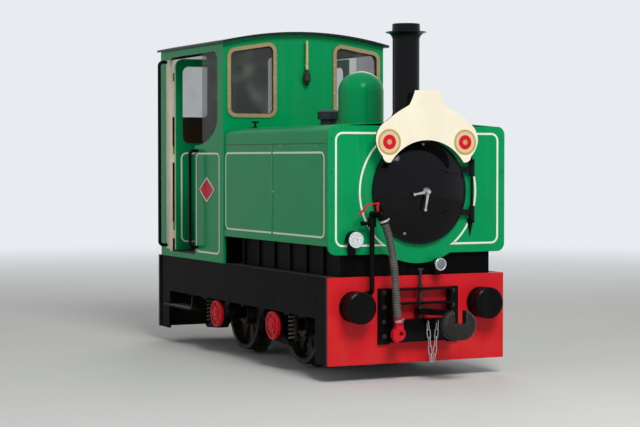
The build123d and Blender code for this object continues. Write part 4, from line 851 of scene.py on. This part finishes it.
@dataclass
class BrakeHose:
    """The grey ribbed hose that hangs from the brake valve."""

    route: tuple[Point, ...] = (
        (1.560, -0.300, 0.955), (1.559, -0.268, 0.868), (1.558, -0.246, 0.772), (1.556, -0.230, 0.655),
        (1.555, -0.222, 0.541), (1.554, -0.212, 0.425), (1.553, -0.204, 0.389))
    radius: float = 0.024
    rib_pitch: float = 0.015
    rib_depth: float = 0.0032
    rib_steps: int = 8
    sides: int = 36

    def centreline(self) -> list[Vector]:
        """The hose's smooth line.

        Returns:
            Points along it, from the valve to the coupling.
        """
        data = bpy.data.curves.new("hose_line", "CURVE")
        data.dimensions = "3D"
        spline = data.splines.new("NURBS")
        spline.points.add(len(self.route) - 1)
        for point, place in zip(spline.points, self.route):
            point.co = (*place, 1.0)
        spline.order_u = 3
        spline.use_endpoint_u = True
        data.resolution_u = 24
        line = bpy.data.objects.new("hose_line", data)
        bpy.context.scene.collection.objects.link(line)
        bpy.context.view_layer.update()
        mesh = bpy.data.meshes.new_from_object(line.evaluated_get(bpy.context.evaluated_depsgraph_get()))
        points = [vertex.co.copy() for vertex in mesh.vertices]
        bpy.data.objects.remove(line)
        bpy.data.meshes.remove(mesh)
        return points

    def rings(self, points: list[Vector]) -> list[tuple[Vector, Vector]]:
        """Evenly spaced places along the line.

        Args:
            points: The line.

        Returns:
            A place and a direction for each ring.
        """
        step = self.rib_pitch / self.rib_steps
        out, due = [], 0.0
        walked = 0.0
        for a, b in zip(points, points[1:]):
            run = (b - a).length
            while due <= walked + run:
                out.append((a.lerp(b, (due - walked) / run), (b - a).normalized()))
                due += step
            walked += run
        return out

    def build(self, palette: Palette, clamp: bpy.types.Object) -> None:
        """Args:
            palette: The finishes.
            clamp: The clamp on its lower end; not used.
        """
        line = self.centreline()
        bm = bmesh.new()
        loops = []
        for number, (place, way) in enumerate(self.rings(line)):
            wave = 0.5 - 0.5 * math.cos(math.tau * number / self.rib_steps)
            radius = self.radius - self.rib_depth * wave ** 2
            ring = bmesh.ops.create_circle(bm, segments=self.sides, radius=radius)
            turn = way.to_track_quat("Z", "Y").to_matrix().to_4x4()
            bmesh.ops.transform(bm, matrix=Matrix.Translation(place) @ turn, verts=ring["verts"])
            loops.append([edge for edge in bm.edges if edge.is_wire and edge.verts[0] in ring["verts"]])
        bmesh.ops.bridge_loops(bm, edges=[edge for loop in loops for edge in loop])
        bmesh.ops.holes_fill(bm, edges=[edge for edge in bm.edges if edge.is_boundary], sides=0)
        hose = finish_piece("brake_hose_tube", bm, palette["hose_rubber"], Body.CHASSIS, sharp=60.0)
        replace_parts(hose, "brake_hose")


def on_face(origin: Sequence[float], right: Sequence[float], up: Sequence[float] = UPWARD) -> Matrix:
    """A placing on a face, with X to the right, Y up and Z out of it.

    Args:
        origin: A point of the face.
        right, up: The face's own directions.

    Returns:
        The placing.
    """
    x, y = Vector(right).normalized(), Vector(up).normalized()
    return Matrix.Translation(origin) @ Matrix((x, y, x.cross(y))).transposed().to_4x4()


def at(placing: Matrix, u: float, v: float, out: float = 0.0) -> Matrix:
    """The same placing, moved along its own axes."""
    return placing @ Matrix.Translation((u, v, out))


def right_side(y: float) -> Matrix:
    """A placing on the right side, this far from the middle, with X forward and Y up."""
    return on_face((0, -y, 0), FORWARD)


def front(x: float) -> Matrix:
    """A placing on a face that looks forward, with X to the locomotive's left and Y up."""
    return on_face((x, 0, 0), LEFTWARD)


def upwards(x: float, y: float, z: float) -> Matrix:
    """A placing on a level face, with X forward."""
    return Matrix.Translation((x, y, z))


class Outline:
    """A closed flat outline in X and Y, drawn corner by corner."""

    def __init__(self) -> None:
        """Starts an empty outline."""
        self.bm = bmesh.new()
        self.first: Any = None
        self.last: Any = None
        self.rounds: list[tuple[Any, float]] = []

    def corner(self, u: float, v: float, radius: float = 0.0) -> None:
        """Adds a corner.

        Args:
            u, v: Its place.
            radius: How far along its edges it is rounded.
        """
        vert = bmesh.ops.create_vert(self.bm, co=(u, v, 0))["vert"][0]
        if self.last:
            self.bm.edges.new((self.last, vert))
        self.first, self.last = self.first or vert, vert
        if radius:
            self.rounds.append((vert, radius))

    def arc(self, centre: tuple[float, float], radius: float, start: float, turn: float,
            steps: int = 28) -> None:
        """Adds an arc.

        Args:
            centre, radius: Its circle.
            start, turn: Its first angle and how far it turns, in degrees.
            steps: Its chords.
        """
        begin = math.radians(start)
        self.corner(centre[0] + radius * math.cos(begin), centre[1] + radius * math.sin(begin))
        made = bmesh.ops.spin(self.bm, geom=[self.last], cent=(*centre, 0), axis=(0, 0, 1),
                              angle=math.radians(turn), steps=steps)
        self.last = next(item for item in made["geom_last"] if isinstance(item, bmesh.types.BMVert))

    def fill(self) -> None:
        """Closes the outline with one face and rounds its corners."""
        self.bm.edges.new((self.last, self.first))
        bmesh.ops.contextual_create(self.bm, geom=self.bm.edges[:])
        for vert, radius in self.rounds:
            bmesh.ops.bevel(self.bm, geom=[vert], offset=radius, segments=8, profile=0.5, affect="VERTICES",
                            material=-1)

    def thicken(self, proud: float, sunk: float = SUNK) -> bmesh.types.BMesh:
        """Makes the faces solid.

        Args:
            proud: How far they stand out of the face.
            sunk: How far they reach into it.

        Returns:
            The finished bmesh.
        """
        bmesh.ops.solidify(self.bm, geom=self.bm.faces[:], thickness=proud + sunk)
        low = min(vert.co.z for vert in self.bm.verts)
        bmesh.ops.translate(self.bm, vec=(0, 0, -low - sunk), verts=self.bm.verts)
        return self.bm

    def line(self, width: float, proud: float) -> bmesh.types.BMesh:
        """A line of even width just inside the outline.

        Args:
            width: The line's width.
            proud: How far it stands out.

        Returns:
            The finished bmesh.
        """
        self.fill()
        ring = bmesh.ops.inset_region(self.bm, faces=self.bm.faces[:], thickness=width, use_boundary=True,
                                       use_even_offset=True)
        inner = [face for face in self.bm.faces if face not in ring["faces"]]
        bmesh.ops.delete(self.bm, geom=inner, context="FACES")
        return self.thicken(proud)

    def plate(self, proud: float) -> bmesh.types.BMesh:
        """A plate of the outline's shape."""
        self.fill()
        return self.thicken(proud)


class Shape:
    """Solid parts gathered in one bmesh. Each is made about the origin and then placed."""

    def __init__(self) -> None:
        """Starts an empty shape."""
        self.bm = bmesh.new()

    def take(self, part: bmesh.types.BMesh, placing: Matrix) -> None:
        """Moves a finished part in, and frees it.

        Args:
            part: The part.
            placing: Where it goes.
        """
        mesh = bpy.data.meshes.new("part")
        bmesh.ops.transform(part, matrix=placing, verts=part.verts)
        part.to_mesh(mesh)
        part.free()
        self.bm.from_mesh(mesh)
        bpy.data.meshes.remove(mesh)

    def drum(self, placing: Matrix, radius: float, height: float, sides: int = 24, top: float | None = None,
             edge: float = 0.0) -> None:
        """A round or many-sided drum that stands on a face.

        Args:
            placing: The middle of its foot.
            radius, height: Its size.
            sides: How many sides it has.
            top: Its upper radius, where it tapers.
            edge: The bevel round its top.
        """
        bm = bmesh.new()
        bmesh.ops.create_cone(bm, cap_ends=True, segments=sides, radius1=radius,
                              radius2=radius if top is None else top, depth=height,
                              matrix=Matrix.Translation((0, 0, height / 2)))
        if edge:
            rim = [e for e in bm.edges if all(vert.co.z > height / 2 for vert in e.verts)]
            bmesh.ops.bevel(bm, geom=rim, offset=edge, segments=2, profile=0.5, affect="EDGES", material=-1)
        self.take(bm, placing)

    def block(self, placing: Matrix, size: tuple[float, float, float], edge: float = 0.0) -> None:
        """A block that stands on a face.

        Args:
            placing: The middle of its foot.
            size: Its length, width and height.
            edge: The bevel of its edges.
        """
        bm = bmesh.new()
        scale = Matrix.Diagonal((*size, 1.0))
        bmesh.ops.create_cube(bm, size=1.0, matrix=Matrix.Translation((0, 0, size[2] / 2)) @ scale)
        if edge:
            bmesh.ops.bevel(bm, geom=bm.edges[:], offset=edge, segments=2, profile=0.5, affect="EDGES",
                            material=-1)
        self.take(bm, placing)

    def ring(self, placing: Matrix, radius: float, wire: float, straight: float = 0.0, sides: int = 32,
             section: int = 10) -> None:
        """A ring of round wire, drawn out into a long link where straight is given.

        Args:
            placing: Its middle, with the ring flat in X and Y.
            radius: From its middle to the wire's middle.
            wire: The wire's radius.
            straight: The length of each straight side, along Y.
            sides: Steps round the ring.
            section: Sides of the wire.
        """
        bm = bmesh.new()
        circle = bmesh.ops.create_circle(bm, segments=section, radius=wire)["verts"]
        stand = Matrix.Translation((radius, 0, 0)) @ Matrix.Rotation(math.pi / 2, 4, "X")
        bmesh.ops.transform(bm, matrix=stand, verts=circle)
        bmesh.ops.spin(bm, geom=bm.verts[:] + bm.edges[:], cent=(0, 0, 0), axis=(0, 0, 1), angle=math.tau,
                       steps=sides, use_merge=True)
        bmesh.ops.rotate(bm, cent=(0, 0, 0), matrix=Matrix.Rotation(math.pi / sides, 3, "Z"), verts=bm.verts)
        for vert in bm.verts:
            vert.co.y += math.copysign(straight / 2, vert.co.y)
        self.take(bm, placing)

    def helix(self, placing: Matrix, radius: float, wire: float, height: float, turns: int) -> None:
        """A coil of round wire that stands on a face.

        Args:
            placing: The middle of its foot.
            radius: From its axis to the wire's middle.
            wire: The wire's radius.
            height: Its height over the wire.
            turns: Its turns.
        """
        bm = bmesh.new()
        steps = turns * 24
        circle = bmesh.ops.create_circle(bm, segments=10, radius=wire, cap_ends=True)["verts"]
        stand = Matrix.Translation((radius, 0, wire)) @ Matrix.Rotation(math.pi / 2, 4, "X")
        bmesh.ops.transform(bm, matrix=stand, verts=circle)
        bmesh.ops.spin(bm, geom=bm.verts[:] + bm.edges[:] + bm.faces[:], cent=(0, 0, 0), axis=(0, 0, 1),
                       dvec=(0, 0, (height - 2 * wire) / steps), angle=math.tau * turns, steps=steps)
        self.take(bm, placing)

    def bolt(self, placing: Matrix, radius: float) -> None:
        """A hexagonal head on its washer."""
        self.drum(placing, radius * 1.35, radius * 0.25)
        self.drum(at(placing, 0, 0, radius * 0.25), radius, radius * 0.75, sides=6, edge=radius * 0.1)

    def screw(self, placing: Matrix, radius: float) -> None:
        """A low round head."""
        self.drum(placing, radius, radius * 0.45, sides=14, top=radius * 0.6)

    def mirror(self, axis: str) -> None:
        """Adds the mirror image across the middle, on X or Y."""
        bmesh.ops.mirror(self.bm, geom=self.bm.verts[:] + self.bm.edges[:] + self.bm.faces[:], axis=axis,
                         merge_dist=-1.0)


@dataclass
class PaintLining:
    """The pale lining on the bonnet, front plate, cab sheets and doors."""

    width: float = 0.0125
    proud: float = 0.0006
    corner: float = 0.045
    bonnet: Corners = ((-0.163, 0.862), (1.360, 1.382))
    cab: Corners = ((-0.670, 0.685), (-0.245, 1.380))
    right_door: Corners = ((-0.535, 0.730), (-0.150, 1.385))
    right_door_x: float = -1.158
    left_door: Corners = ((0.752, 0.730), (1.137, 1.385))
    left_door_y: float = 0.607
    front_half: float = 0.565
    front_heights: tuple[float, float] = (0.813, 1.498)
    front_corner: float = 0.05
    arch_z: float = 1.14
    arch_radius: float = 0.394
    arch_angles: tuple[float, float] = (65.3, -121.4)

    def panel(self, shape: Shape, placing: Matrix, low: tuple[float, float],
              high: tuple[float, float]) -> None:
        """Lines an upright panel.

        Args:
            shape: The shape that takes the line.
            placing: The panel's face.
            low, high: Two opposite corners of the line.
        """
        outline = Outline()
        for u, v in (low, (high[0], low[1]), high, (low[0], high[1])):
            outline.corner(u, v, self.corner)
        shape.take(outline.line(self.width, self.proud), placing)

    def front_panel(self, shape: Shape) -> None:
        """Lines the left half of the front plate, round the door's opening.

        Args:
            shape: The shape that takes the line.
        """
        outline = Outline()
        for height in self.front_heights:
            outline.corner(self.front_half, height, self.front_corner)
        outline.arc((0.0, self.arch_z), self.arch_radius, *self.arch_angles)
        shape.take(outline.line(self.width, self.proud), front(FRONT_PLATE_X))

    def build(self, palette: Palette) -> None:
        """Makes the lining of each body.

        Args:
            palette: The finishes.
        """
        fixed = Shape()
        self.panel(fixed, right_side(BONNET_SIDE_Y), *self.bonnet)
        self.panel(fixed, right_side(CAB_SIDE_Y), *self.cab)
        self.front_panel(fixed)
        fixed.mirror("Y")
        finish_piece("paint_lining", fixed.bm, palette["lining_paint"], Body.CHASSIS)
        right = Shape()
        self.panel(right, front(self.right_door_x), *self.right_door)
        finish_piece("right_door_lining", right.bm, palette["lining_paint"], Body.RIGHT_CAB_DOOR)
        left = Shape()
        self.panel(left, on_face((0, self.left_door_y, 0), BACKWARD), *self.left_door)
        finish_piece("left_door_lining", left.bm, palette["lining_paint"], Body.LEFT_CAB_DOOR)


@dataclass
class BonnetDress:
    """Joint lines, cover strips, screws and small fittings of the bonnet."""

    joint: tuple[float, float] = (0.62, 1.4305)
    joint_size: Point = (1.594, 0.005, 0.0010)
    strip: tuple[float, float] = (0.602, 1.1445)
    strip_size: Point = (0.021, 0.566, 0.0022)
    strip_edge: float = 0.0006
    post: tuple[float, float] = (-1.216, 1.369)
    post_size: Point = (0.072, 1.370, 0.0018)
    screw_x: tuple[float, ...] = (-0.067, 0.730, 1.239)
    screw_z: float = 1.415
    screw_radius: float = 0.007
    stud: tuple[float, float] = (0.622, 1.130)
    stud_size: tuple[float, float] = (0.010, 0.004)
    cock_nut: Point = (-0.118, -0.400, 1.540)
    cock_stem: Point = (-0.118, -0.400, 1.554)
    cock_bar: Point = (-0.118, -0.425, 1.586)
    edge: float = 0.001

    def build(self, palette: Palette) -> None:
        """Makes the bonnet's fittings.

        Args:
            palette: The finishes.
        """
        side = right_side(BONNET_SIDE_Y)
        joints = Shape()
        joints.block(at(side, *self.joint, -SUNK), self.joint_size)
        joints.mirror("Y")
        finish_piece("bonnet_joint_lines", joints.bm, palette["seal_rubber"], Body.CHASSIS)
        strips = Shape()
        strips.block(at(side, *self.strip, -SUNK), self.strip_size, edge=self.strip_edge)
        strips.mirror("Y")
        finish_piece("bonnet_cover_strips", strips.bm, palette["green_paint"], Body.CHASSIS)
        screws = Shape()
        for x in self.screw_x:
            screws.screw(at(side, x, self.screw_z), self.screw_radius)
        screws.drum(at(side, *self.stud), *self.stud_size, edge=self.edge)
        screws.mirror("Y")
        posts = Shape()
        posts.block(at(right_side(CAB_SIDE_Y), *self.post, -SUNK), self.post_size, edge=SUNK)
        posts.mirror("Y")
        finish_piece("door_post_strips", posts.bm, palette["cream_paint"], Body.CHASSIS)
        finish_piece("bonnet_screws", screws.bm, palette["steel"], Body.CHASSIS)
        cock = Shape()
        cock.drum(upwards(*self.cock_nut), 0.016, 0.014, sides=6, edge=self.edge)
        cock.drum(upwards(*self.cock_stem), 0.008, 0.030)
        cock.drum(on_face(self.cock_bar, UPWARD, FORWARD), 0.006, 0.050, edge=self.edge)
        finish_piece("bonnet_cock", cock.bm, palette["gloss_black"], Body.CHASSIS)


@dataclass
class FrontDress:
    """The headboard's plain discs, the lamps' rims and lenses and the bolts of the front."""

    board_x: float = 1.542
    disc_y: float = 0.260
    disc_z: float = 1.438
    door_bolts: tuple[Point, ...] = ((1.4600, 0.011, 1.428), (1.4640, -0.119, 0.888))
    screw_y: float = 0.588
    screw_z: tuple[float, ...] = (0.86, 1.06, 1.26, 1.46)
    screw_radius: float = 0.008
    lamp: Point = (1.492, -0.458, 0.858)
    lamp_rim: tuple[float, float] = (0.0475, 0.0045)
    spot: Point = (1.510, 0.112, 0.699)
    spot_bezel: tuple[float, float] = (0.0335, 0.0040)
    spot_shell: tuple[float, float] = (0.0385, 0.014)
    spot_shell_back: float = 0.016
    spot_lens: tuple[float, float] = (0.0315, 0.003)
    spot_lens_top: float = 0.026
    sides: int = 48

    def discs(self, palette: Palette) -> None:
        """Makes the two plain painted discs, a ring of each colour inside the last.

        Args:
            palette: The finishes.
        """
        rings = (("disc_gold", "gold_paint", 0.077, 0.0008), ("disc_pale", "pale_gold_paint", 0.064, 0.0012),
                 ("disc_red", "disc_red_paint", 0.044, 0.0016), ("disc_middle", "gold_paint", 0.016, 0.0020))
        for name, finish, radius, proud in rings:
            shape = Shape()
            for way in (1, -1):
                shape.drum(at(front(self.board_x), way * self.disc_y, self.disc_z), radius, proud, sides=64)
            finish_piece(name, shape.bm, palette[finish], Body.SMOKEBOX_DOOR)

    def bolts(self, palette: Palette) -> None:
        """Makes the bolts on the smokebox door and the front plate.

        Args:
            palette: The finishes.
        """
        door = Shape()
        for place in self.door_bolts:
            door.drum(on_face(place, LEFTWARD), 0.009, 0.012, edge=0.002)
        finish_piece("door_bolts", door.bm, palette["steel"], Body.SMOKEBOX_DOOR)
        plate = Shape()
        for y in (self.screw_y, -self.screw_y):
            for z in self.screw_z:
                plate.screw(at(front(FRONT_PLATE_X), y, z), self.screw_radius)
        finish_piece("front_plate_screws", plate.bm, palette["green_paint"], Body.CHASSIS)

    def lamps(self, palette: Palette) -> None:
        """Makes the lamps' rims and the spot lamp's lens.

        Args:
            palette: The finishes.
        """
        rim = Shape()
        rim.ring(on_face(self.lamp, LEFTWARD), *self.lamp_rim, sides=self.sides)
        finish_piece("marker_lamp_rim", rim.bm, palette["gloss_black"], Body.CHASSIS)
        bezel = Shape()
        spot = on_face(self.spot, LEFTWARD)
        bezel.ring(spot, *self.spot_bezel, sides=self.sides)
        bezel.drum(at(spot, 0, 0, -self.spot_shell_back), *self.spot_shell, sides=self.sides)
        finish_piece("spot_lamp_bezel", bezel.bm, palette["chrome"], Body.CHASSIS)
        lens = Shape()
        lens.drum(spot, *self.spot_lens, sides=self.sides, top=self.spot_lens_top)
        finish_piece("spot_lamp_lens", lens.bm, palette["spot_glass"], Body.CHASSIS)

    def build(self, palette: Palette) -> None:
        """Makes the front's fittings.

        Args:
            palette: The finishes.
        """
        self.discs(palette)
        self.bolts(palette)
        self.lamps(palette)


@dataclass
class DrawGearDress:
    """The hanging chain, the pockets' bolts and the hose's clamps."""

    pin: Point = (1.500, 0.060, 0.352)
    strand_dy: float = 0.034
    lean: float = 6.0
    links: int = 5
    pitch: float = 0.0505
    first: float = -0.02125
    wire: float = 0.0032
    bend: float = 0.0107
    straight: float = 0.037
    pocket_x: float = 1.436
    bolt_y: float = 0.237
    bolt_z: tuple[float, ...] = (0.268, 0.356, 0.444, 0.532)
    bolt_radius: float = 0.012
    clamp_back: float = 0.010
    clamp_band: tuple[float, float] = (0.0288, 0.013)
    clamp_worm: Point = (0.0295, 0.0, 0.001)
    clamp_worm_size: Point = (0.010, 0.022, 0.011)

    def chain(self, palette: Palette) -> None:
        """Makes the two strands of round wire links.

        Args:
            palette: The finishes.
        """
        shape = Shape()
        stand = Matrix.Rotation(math.pi / 2, 4, "X")
        for side in (-1, 1):
            strand = Matrix.Translation(Vector(self.pin) + Vector((0, side * self.strand_dy, 0)))
            strand = strand @ Matrix.Rotation(math.radians(-side * self.lean), 4, "X")
            for number in range(self.links):
                place = at(strand, 0, 0, self.first - number * self.pitch)
                turn = Matrix.Rotation(math.pi / 2 * (number % 2), 4, "Z")
                shape.ring(place @ turn @ stand, self.bend, self.wire, self.straight, sides=24, section=8)
        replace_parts(finish_piece("chain_links", shape.bm, palette["zinc"], Body.CHASSIS), "coupling_chain")

    def bolts(self, palette: Palette) -> None:
        """Makes the pockets' bolts at both ends.

        Args:
            palette: The finishes.
        """
        shape = Shape()
        for y in (self.bolt_y, -self.bolt_y):
            for z in self.bolt_z:
                shape.bolt(at(front(self.pocket_x), y, z), self.bolt_radius)
        shape.mirror("X")
        finish_piece("pocket_bolts", shape.bm, palette["dark_steel"], Body.CHASSIS)

    def clamp(self, shape: Shape, end: Vector, way: Vector) -> None:
        """Makes a worm clamp round a collar.

        Args:
            shape: The shape that takes it.
            end: The collar's end.
            way: The collar's direction.
        """
        turn = way.to_track_quat("Z", "X").to_matrix().to_4x4()
        placing = Matrix.Translation(end + way * self.clamp_back) @ turn
        shape.drum(placing, *self.clamp_band, sides=40, edge=0.0008)
        shape.block(at(placing, *self.clamp_worm), self.clamp_worm_size, edge=0.0015)

    def clamps(self, palette: Palette, route: Sequence[Sequence[float]]) -> bpy.types.Object:
        """Makes the clamps at the hose's two ends.

        Args:
            palette: The finishes.
            route: The hose's route.

        Returns:
            The lower clamp, which hangs on the hose.
        """
        points = [Vector(point) for point in route]
        upper, lower = Shape(), Shape()
        self.clamp(upper, points[0], (points[0] - points[1]).normalized())
        self.clamp(lower, points[-1], (points[-1] - points[-2]).normalized())
        finish_piece("hose_upper_clamp", upper.bm, palette["zinc"], Body.CHASSIS)
        return finish_piece("hose_lower_clamp", lower.bm, palette["zinc"], Body.CHASSIS)


@dataclass
class RunningGearDress:
    """The coil springs and the bolts of the axleboxes and arms."""

    axles: tuple[float, float] = (0.608, -0.325)
    axle_z: float = 0.280
    spring_y: float = 0.552
    spring_dx: float = 0.210
    spring_foot: float = 0.192
    spring_size: tuple[float, float, float, int] = (0.026, 0.007, 0.172, 6)
    cover_y: float = 0.601
    cover_bolts: int = 6
    cover_circle: float = 0.0625
    bolt_radius: float = 0.0075
    pivot_y: float = 0.583
    pivot_dx: float = 0.180
    pivot_dz: float = 0.058
    pivot_size: tuple[float, float] = (0.017, 0.012)

    def build(self, palette: Palette) -> None:
        """Makes the springs and bolts.

        Args:
            palette: The finishes.
        """
        springs, bolts, pins = Shape(), Shape(), Shape()
        for x, way in zip(self.axles, (1, -1)):
            foot = upwards(x + way * self.spring_dx, -self.spring_y, self.spring_foot)
            springs.helix(foot, *self.spring_size)
            cover = at(right_side(self.cover_y), x, self.axle_z)
            for number in range(self.cover_bolts):
                turn = Matrix.Rotation(math.tau * number / self.cover_bolts, 4, "Z")
                bolts.bolt(cover @ turn @ Matrix.Translation((self.cover_circle, 0, 0)), self.bolt_radius)
            pivot = at(right_side(self.pivot_y), x - way * self.pivot_dx, self.axle_z + self.pivot_dz)
            pins.drum(pivot, *self.pivot_size, edge=0.002)
        for shape in (springs, bolts, pins):
            shape.mirror("Y")
        coils = finish_piece("helical_springs", springs.bm, palette["spring_steel"], Body.CHASSIS)
        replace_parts(coils, "coil_springs")
        finish_piece("cover_bolts", bolts.bm, palette["red_paint"], Body.CHASSIS)
        finish_piece("pivot_pins", pins.bm, palette["steel"], Body.CHASSIS)


@dataclass
class CabDress:
    """Window frame screws, side plates and the desk's gauges."""

    front_frame_x: float = -0.172
    rear_frame_x: float = -1.368
    plate_x: float = -0.465
    plate_z: float = 1.125
    plate_half: tuple[float, float] = (0.140, 0.0875)
    plate_corner: float = 0.006
    plate_edge: float = 0.008
    plate_proud: tuple[float, float] = (0.0016, 0.0022)
    screw_radius: float = 0.006
    low_z: float = 1.631
    low_y: tuple[float, ...] = (0.275, 0.357, 0.439, 0.521)
    inner_y: float = 0.228
    inner_z: tuple[float, ...] = (1.690, 1.790, 1.890, 1.990, 2.080)
    outer_y: float = 0.568
    outer_z: tuple[float, ...] = (1.690, 1.780, 1.870, 1.960)
    desk: Point = (-0.340, 0, 1.498)
    desk_slope: Point = (0.12, 0, 0.10)
    gauge_y: tuple[float, ...] = (-0.22, 0.0, 0.22)
    gauge_rim: tuple[float, float] = (0.036, 0.006)
    gauge_dial: tuple[float, float] = (0.034, 0.006)

    def window_screws(self, palette: Palette) -> None:
        """Makes the screws round the four end windows.

        Args:
            palette: The finishes.
        """
        places = [(y, self.low_z) for y in self.low_y]
        places += [(self.inner_y, z) for z in self.inner_z]
        places += [(self.outer_y, z) for z in self.outer_z]
        shape = Shape()
        for y, z in places:
            shape.screw(at(front(self.front_frame_x), -y, z), self.screw_radius)
            shape.screw(at(on_face((self.rear_frame_x, 0, 0), RIGHTWARD), y, z), self.screw_radius)
        shape.mirror("Y")
        finish_piece("window_screws", shape.bm, palette["zinc"], Body.CHASSIS)

    def side_plates(self, palette: Palette) -> None:
        """Makes the plain red diamond plates on the cab sides.

        Args:
            palette: The finishes.
        """
        red, edge = Shape(), Shape()
        for shape, proud in zip((red, edge), self.plate_proud):
            outline = Outline()
            for du, dv in ((1, 0), (0, 1), (-1, 0), (0, -1)):
                outline.corner(du * self.plate_half[0], dv * self.plate_half[1], self.plate_corner)
            made = outline.plate(proud) if shape is red else outline.line(self.plate_edge, proud)
            shape.take(made, at(right_side(CAB_SIDE_Y), self.plate_x, self.plate_z))
            shape.mirror("Y")
        finish_piece("side_plates", red.bm, palette["disc_red_paint"], Body.CHASSIS)
        finish_piece("side_plate_edges", edge.bm, palette["lining_paint"], Body.CHASSIS)

    def gauges(self, palette: Palette) -> None:
        """Makes three dials on the desk's slope.

        Args:
            palette: The finishes.
        """
        rims, dials = Shape(), Shape()
        slope = on_face(self.desk, RIGHTWARD, self.desk_slope)
        for y in self.gauge_y:
            rims.ring(at(slope, y, 0, 0.004), *self.gauge_rim)
            dials.drum(at(slope, y, 0, -0.002), *self.gauge_dial)
        finish_piece("gauge_rims", rims.bm, palette["brass"], Body.CHASSIS)
        finish_piece("gauge_dials", dials.bm, palette["board_paint"], Body.CHASSIS)

    def build(self, palette: Palette) -> None:
        """Makes the cab's fittings.

        Args:
            palette: The finishes.
        """
        self.window_screws(palette)
        self.side_plates(palette)
        self.gauges(palette)


@dataclass(frozen=True)
class SoftLamp:
    """A square soft lamp.

    Attributes:
        name: Its name.
        place: Where it hangs.
        aim: The point it looks at.
        size: Its side.
        power: Its power in watts.
    """

    name: str
    place: Point
    aim: Point
    size: float
    power: float

    def hang(self) -> None:
        """Puts the lamp in the scene."""
        data = bpy.data.lights.new(self.name, "AREA")
        data.shape, data.size, data.energy = "SQUARE", self.size, self.power
        lamp = bpy.data.objects.new(self.name, data)
        turn = (Vector(self.aim) - Vector(self.place)).to_track_quat("-Z", "Y").to_matrix().to_4x4()
        lamp.matrix_world = Matrix.Translation(self.place) @ turn
        bpy.context.scene.collection.objects.link(lamp)


@dataclass
class Studio:
    """The pale floor, the soft lamps and the pale surroundings."""

    floor_half: float = 60.0
    floor_colour: Colour = paint_chip(226, 225, 221)
    sky: Colour = paint_chip(232, 236, 240)
    ambient: float = 0.25
    horizon: tuple[float, float] = (4.0, 16.0)
    lamps: tuple[SoftLamp, ...] = (
        SoftLamp("key_lamp", (8.8, -1.4, 8.0), (0.6, 0.0, 1.0), 4.0, 790.0),
        SoftLamp("side_lamp", (-1.5, -9.0, 5.0), (-0.2, 0.0, 1.0), 5.0, 25.0),
        SoftLamp("rear_lamp", (-8.0, 4.5, 6.0), (-0.5, 0.0, 1.0), 4.0, 150.0))

    def floor(self) -> None:
        """Lays the floor."""
        material = bpy.data.materials.new("studio_floor")
        material.use_nodes = True
        graph = Graph(material.node_tree)
        shader = material.node_tree.nodes["Principled BSDF"]
        shade = graph.fade(graph.noise(1.2, 3.0), 0.2, 0.8)
        dim = tuple(c * 0.97 for c in self.floor_colour)
        graph.feed(shader.inputs["Base Color"], graph.blend(shade, dim, self.floor_colour))
        shader.inputs["Roughness"].default_value = 0.85
        reach = graph.add("VectorMath", {0: graph.place()}, operation="LENGTH").outputs["Value"]
        glow = graph.add("Emission", {"Color": self.sky})
        mixed = graph.add("MixShader", {0: graph.fade(reach, *self.horizon), 1: shader.outputs[0],
                                        2: glow.outputs[0]})
        graph.feed(material.node_tree.nodes["Material Output"].inputs["Surface"], mixed.outputs[0])
        bm = bmesh.new()
        bmesh.ops.create_grid(bm, x_segments=1, y_segments=1, size=self.floor_half)
        mesh = bpy.data.meshes.new("studio_floor")
        bm.to_mesh(mesh)
        bm.free()
        mesh.materials.append(material)
        floor = bpy.data.objects.new("studio_floor", mesh)
        bpy.context.scene.collection.objects.link(floor)

    def surroundings(self) -> None:
        """Sets the pale world, plain to the camera and in reflections, softer as light."""
        world = bpy.data.worlds.new("studio")
        world.use_nodes = True
        bpy.context.scene.world = world
        graph = Graph(world.node_tree)
        rays = graph.add("LightPath").outputs
        seen = graph.sum("MAXIMUM", rays["Is Camera Ray"], rays["Is Glossy Ray"])
        seen = graph.sum("MAXIMUM", seen, rays["Is Transmission Ray"])
        strength = graph.sum("MULTIPLY_ADD", seen, 1.0 - self.ambient)
        strength.node.inputs[2].default_value = self.ambient
        background = world.node_tree.nodes["Background"]
        background.inputs["Color"].default_value = (*self.sky, 1.0)
        graph.feed(background.inputs["Strength"], strength)

    def build(self) -> None:
        """Sets up the floor, the lamps and the world."""
        self.floor()
        for lamp in self.lamps:
            lamp.hang()
        self.surroundings()
        view = bpy.context.scene.view_settings
        view.view_transform = "Standard"


def main() -> None:
    """Builds the scene."""
    PhotoCamera().build()
    palette = Palette()
    dress_nodes(palette)
    hose, draw_gear = BrakeHose(), DrawGearDress()
    hose.build(palette, draw_gear.clamps(palette, hose.route))
    draw_gear.chain(palette)
    draw_gear.bolts(palette)
    for dress in (PaintLining(), BonnetDress(), FrontDress(), RunningGearDress(), CabDress()):
        dress.build(palette)
    Studio().build()


if __name__ == "__main__":
    logging.basicConfig(level=logging.INFO, format="%(message)s")
    main()
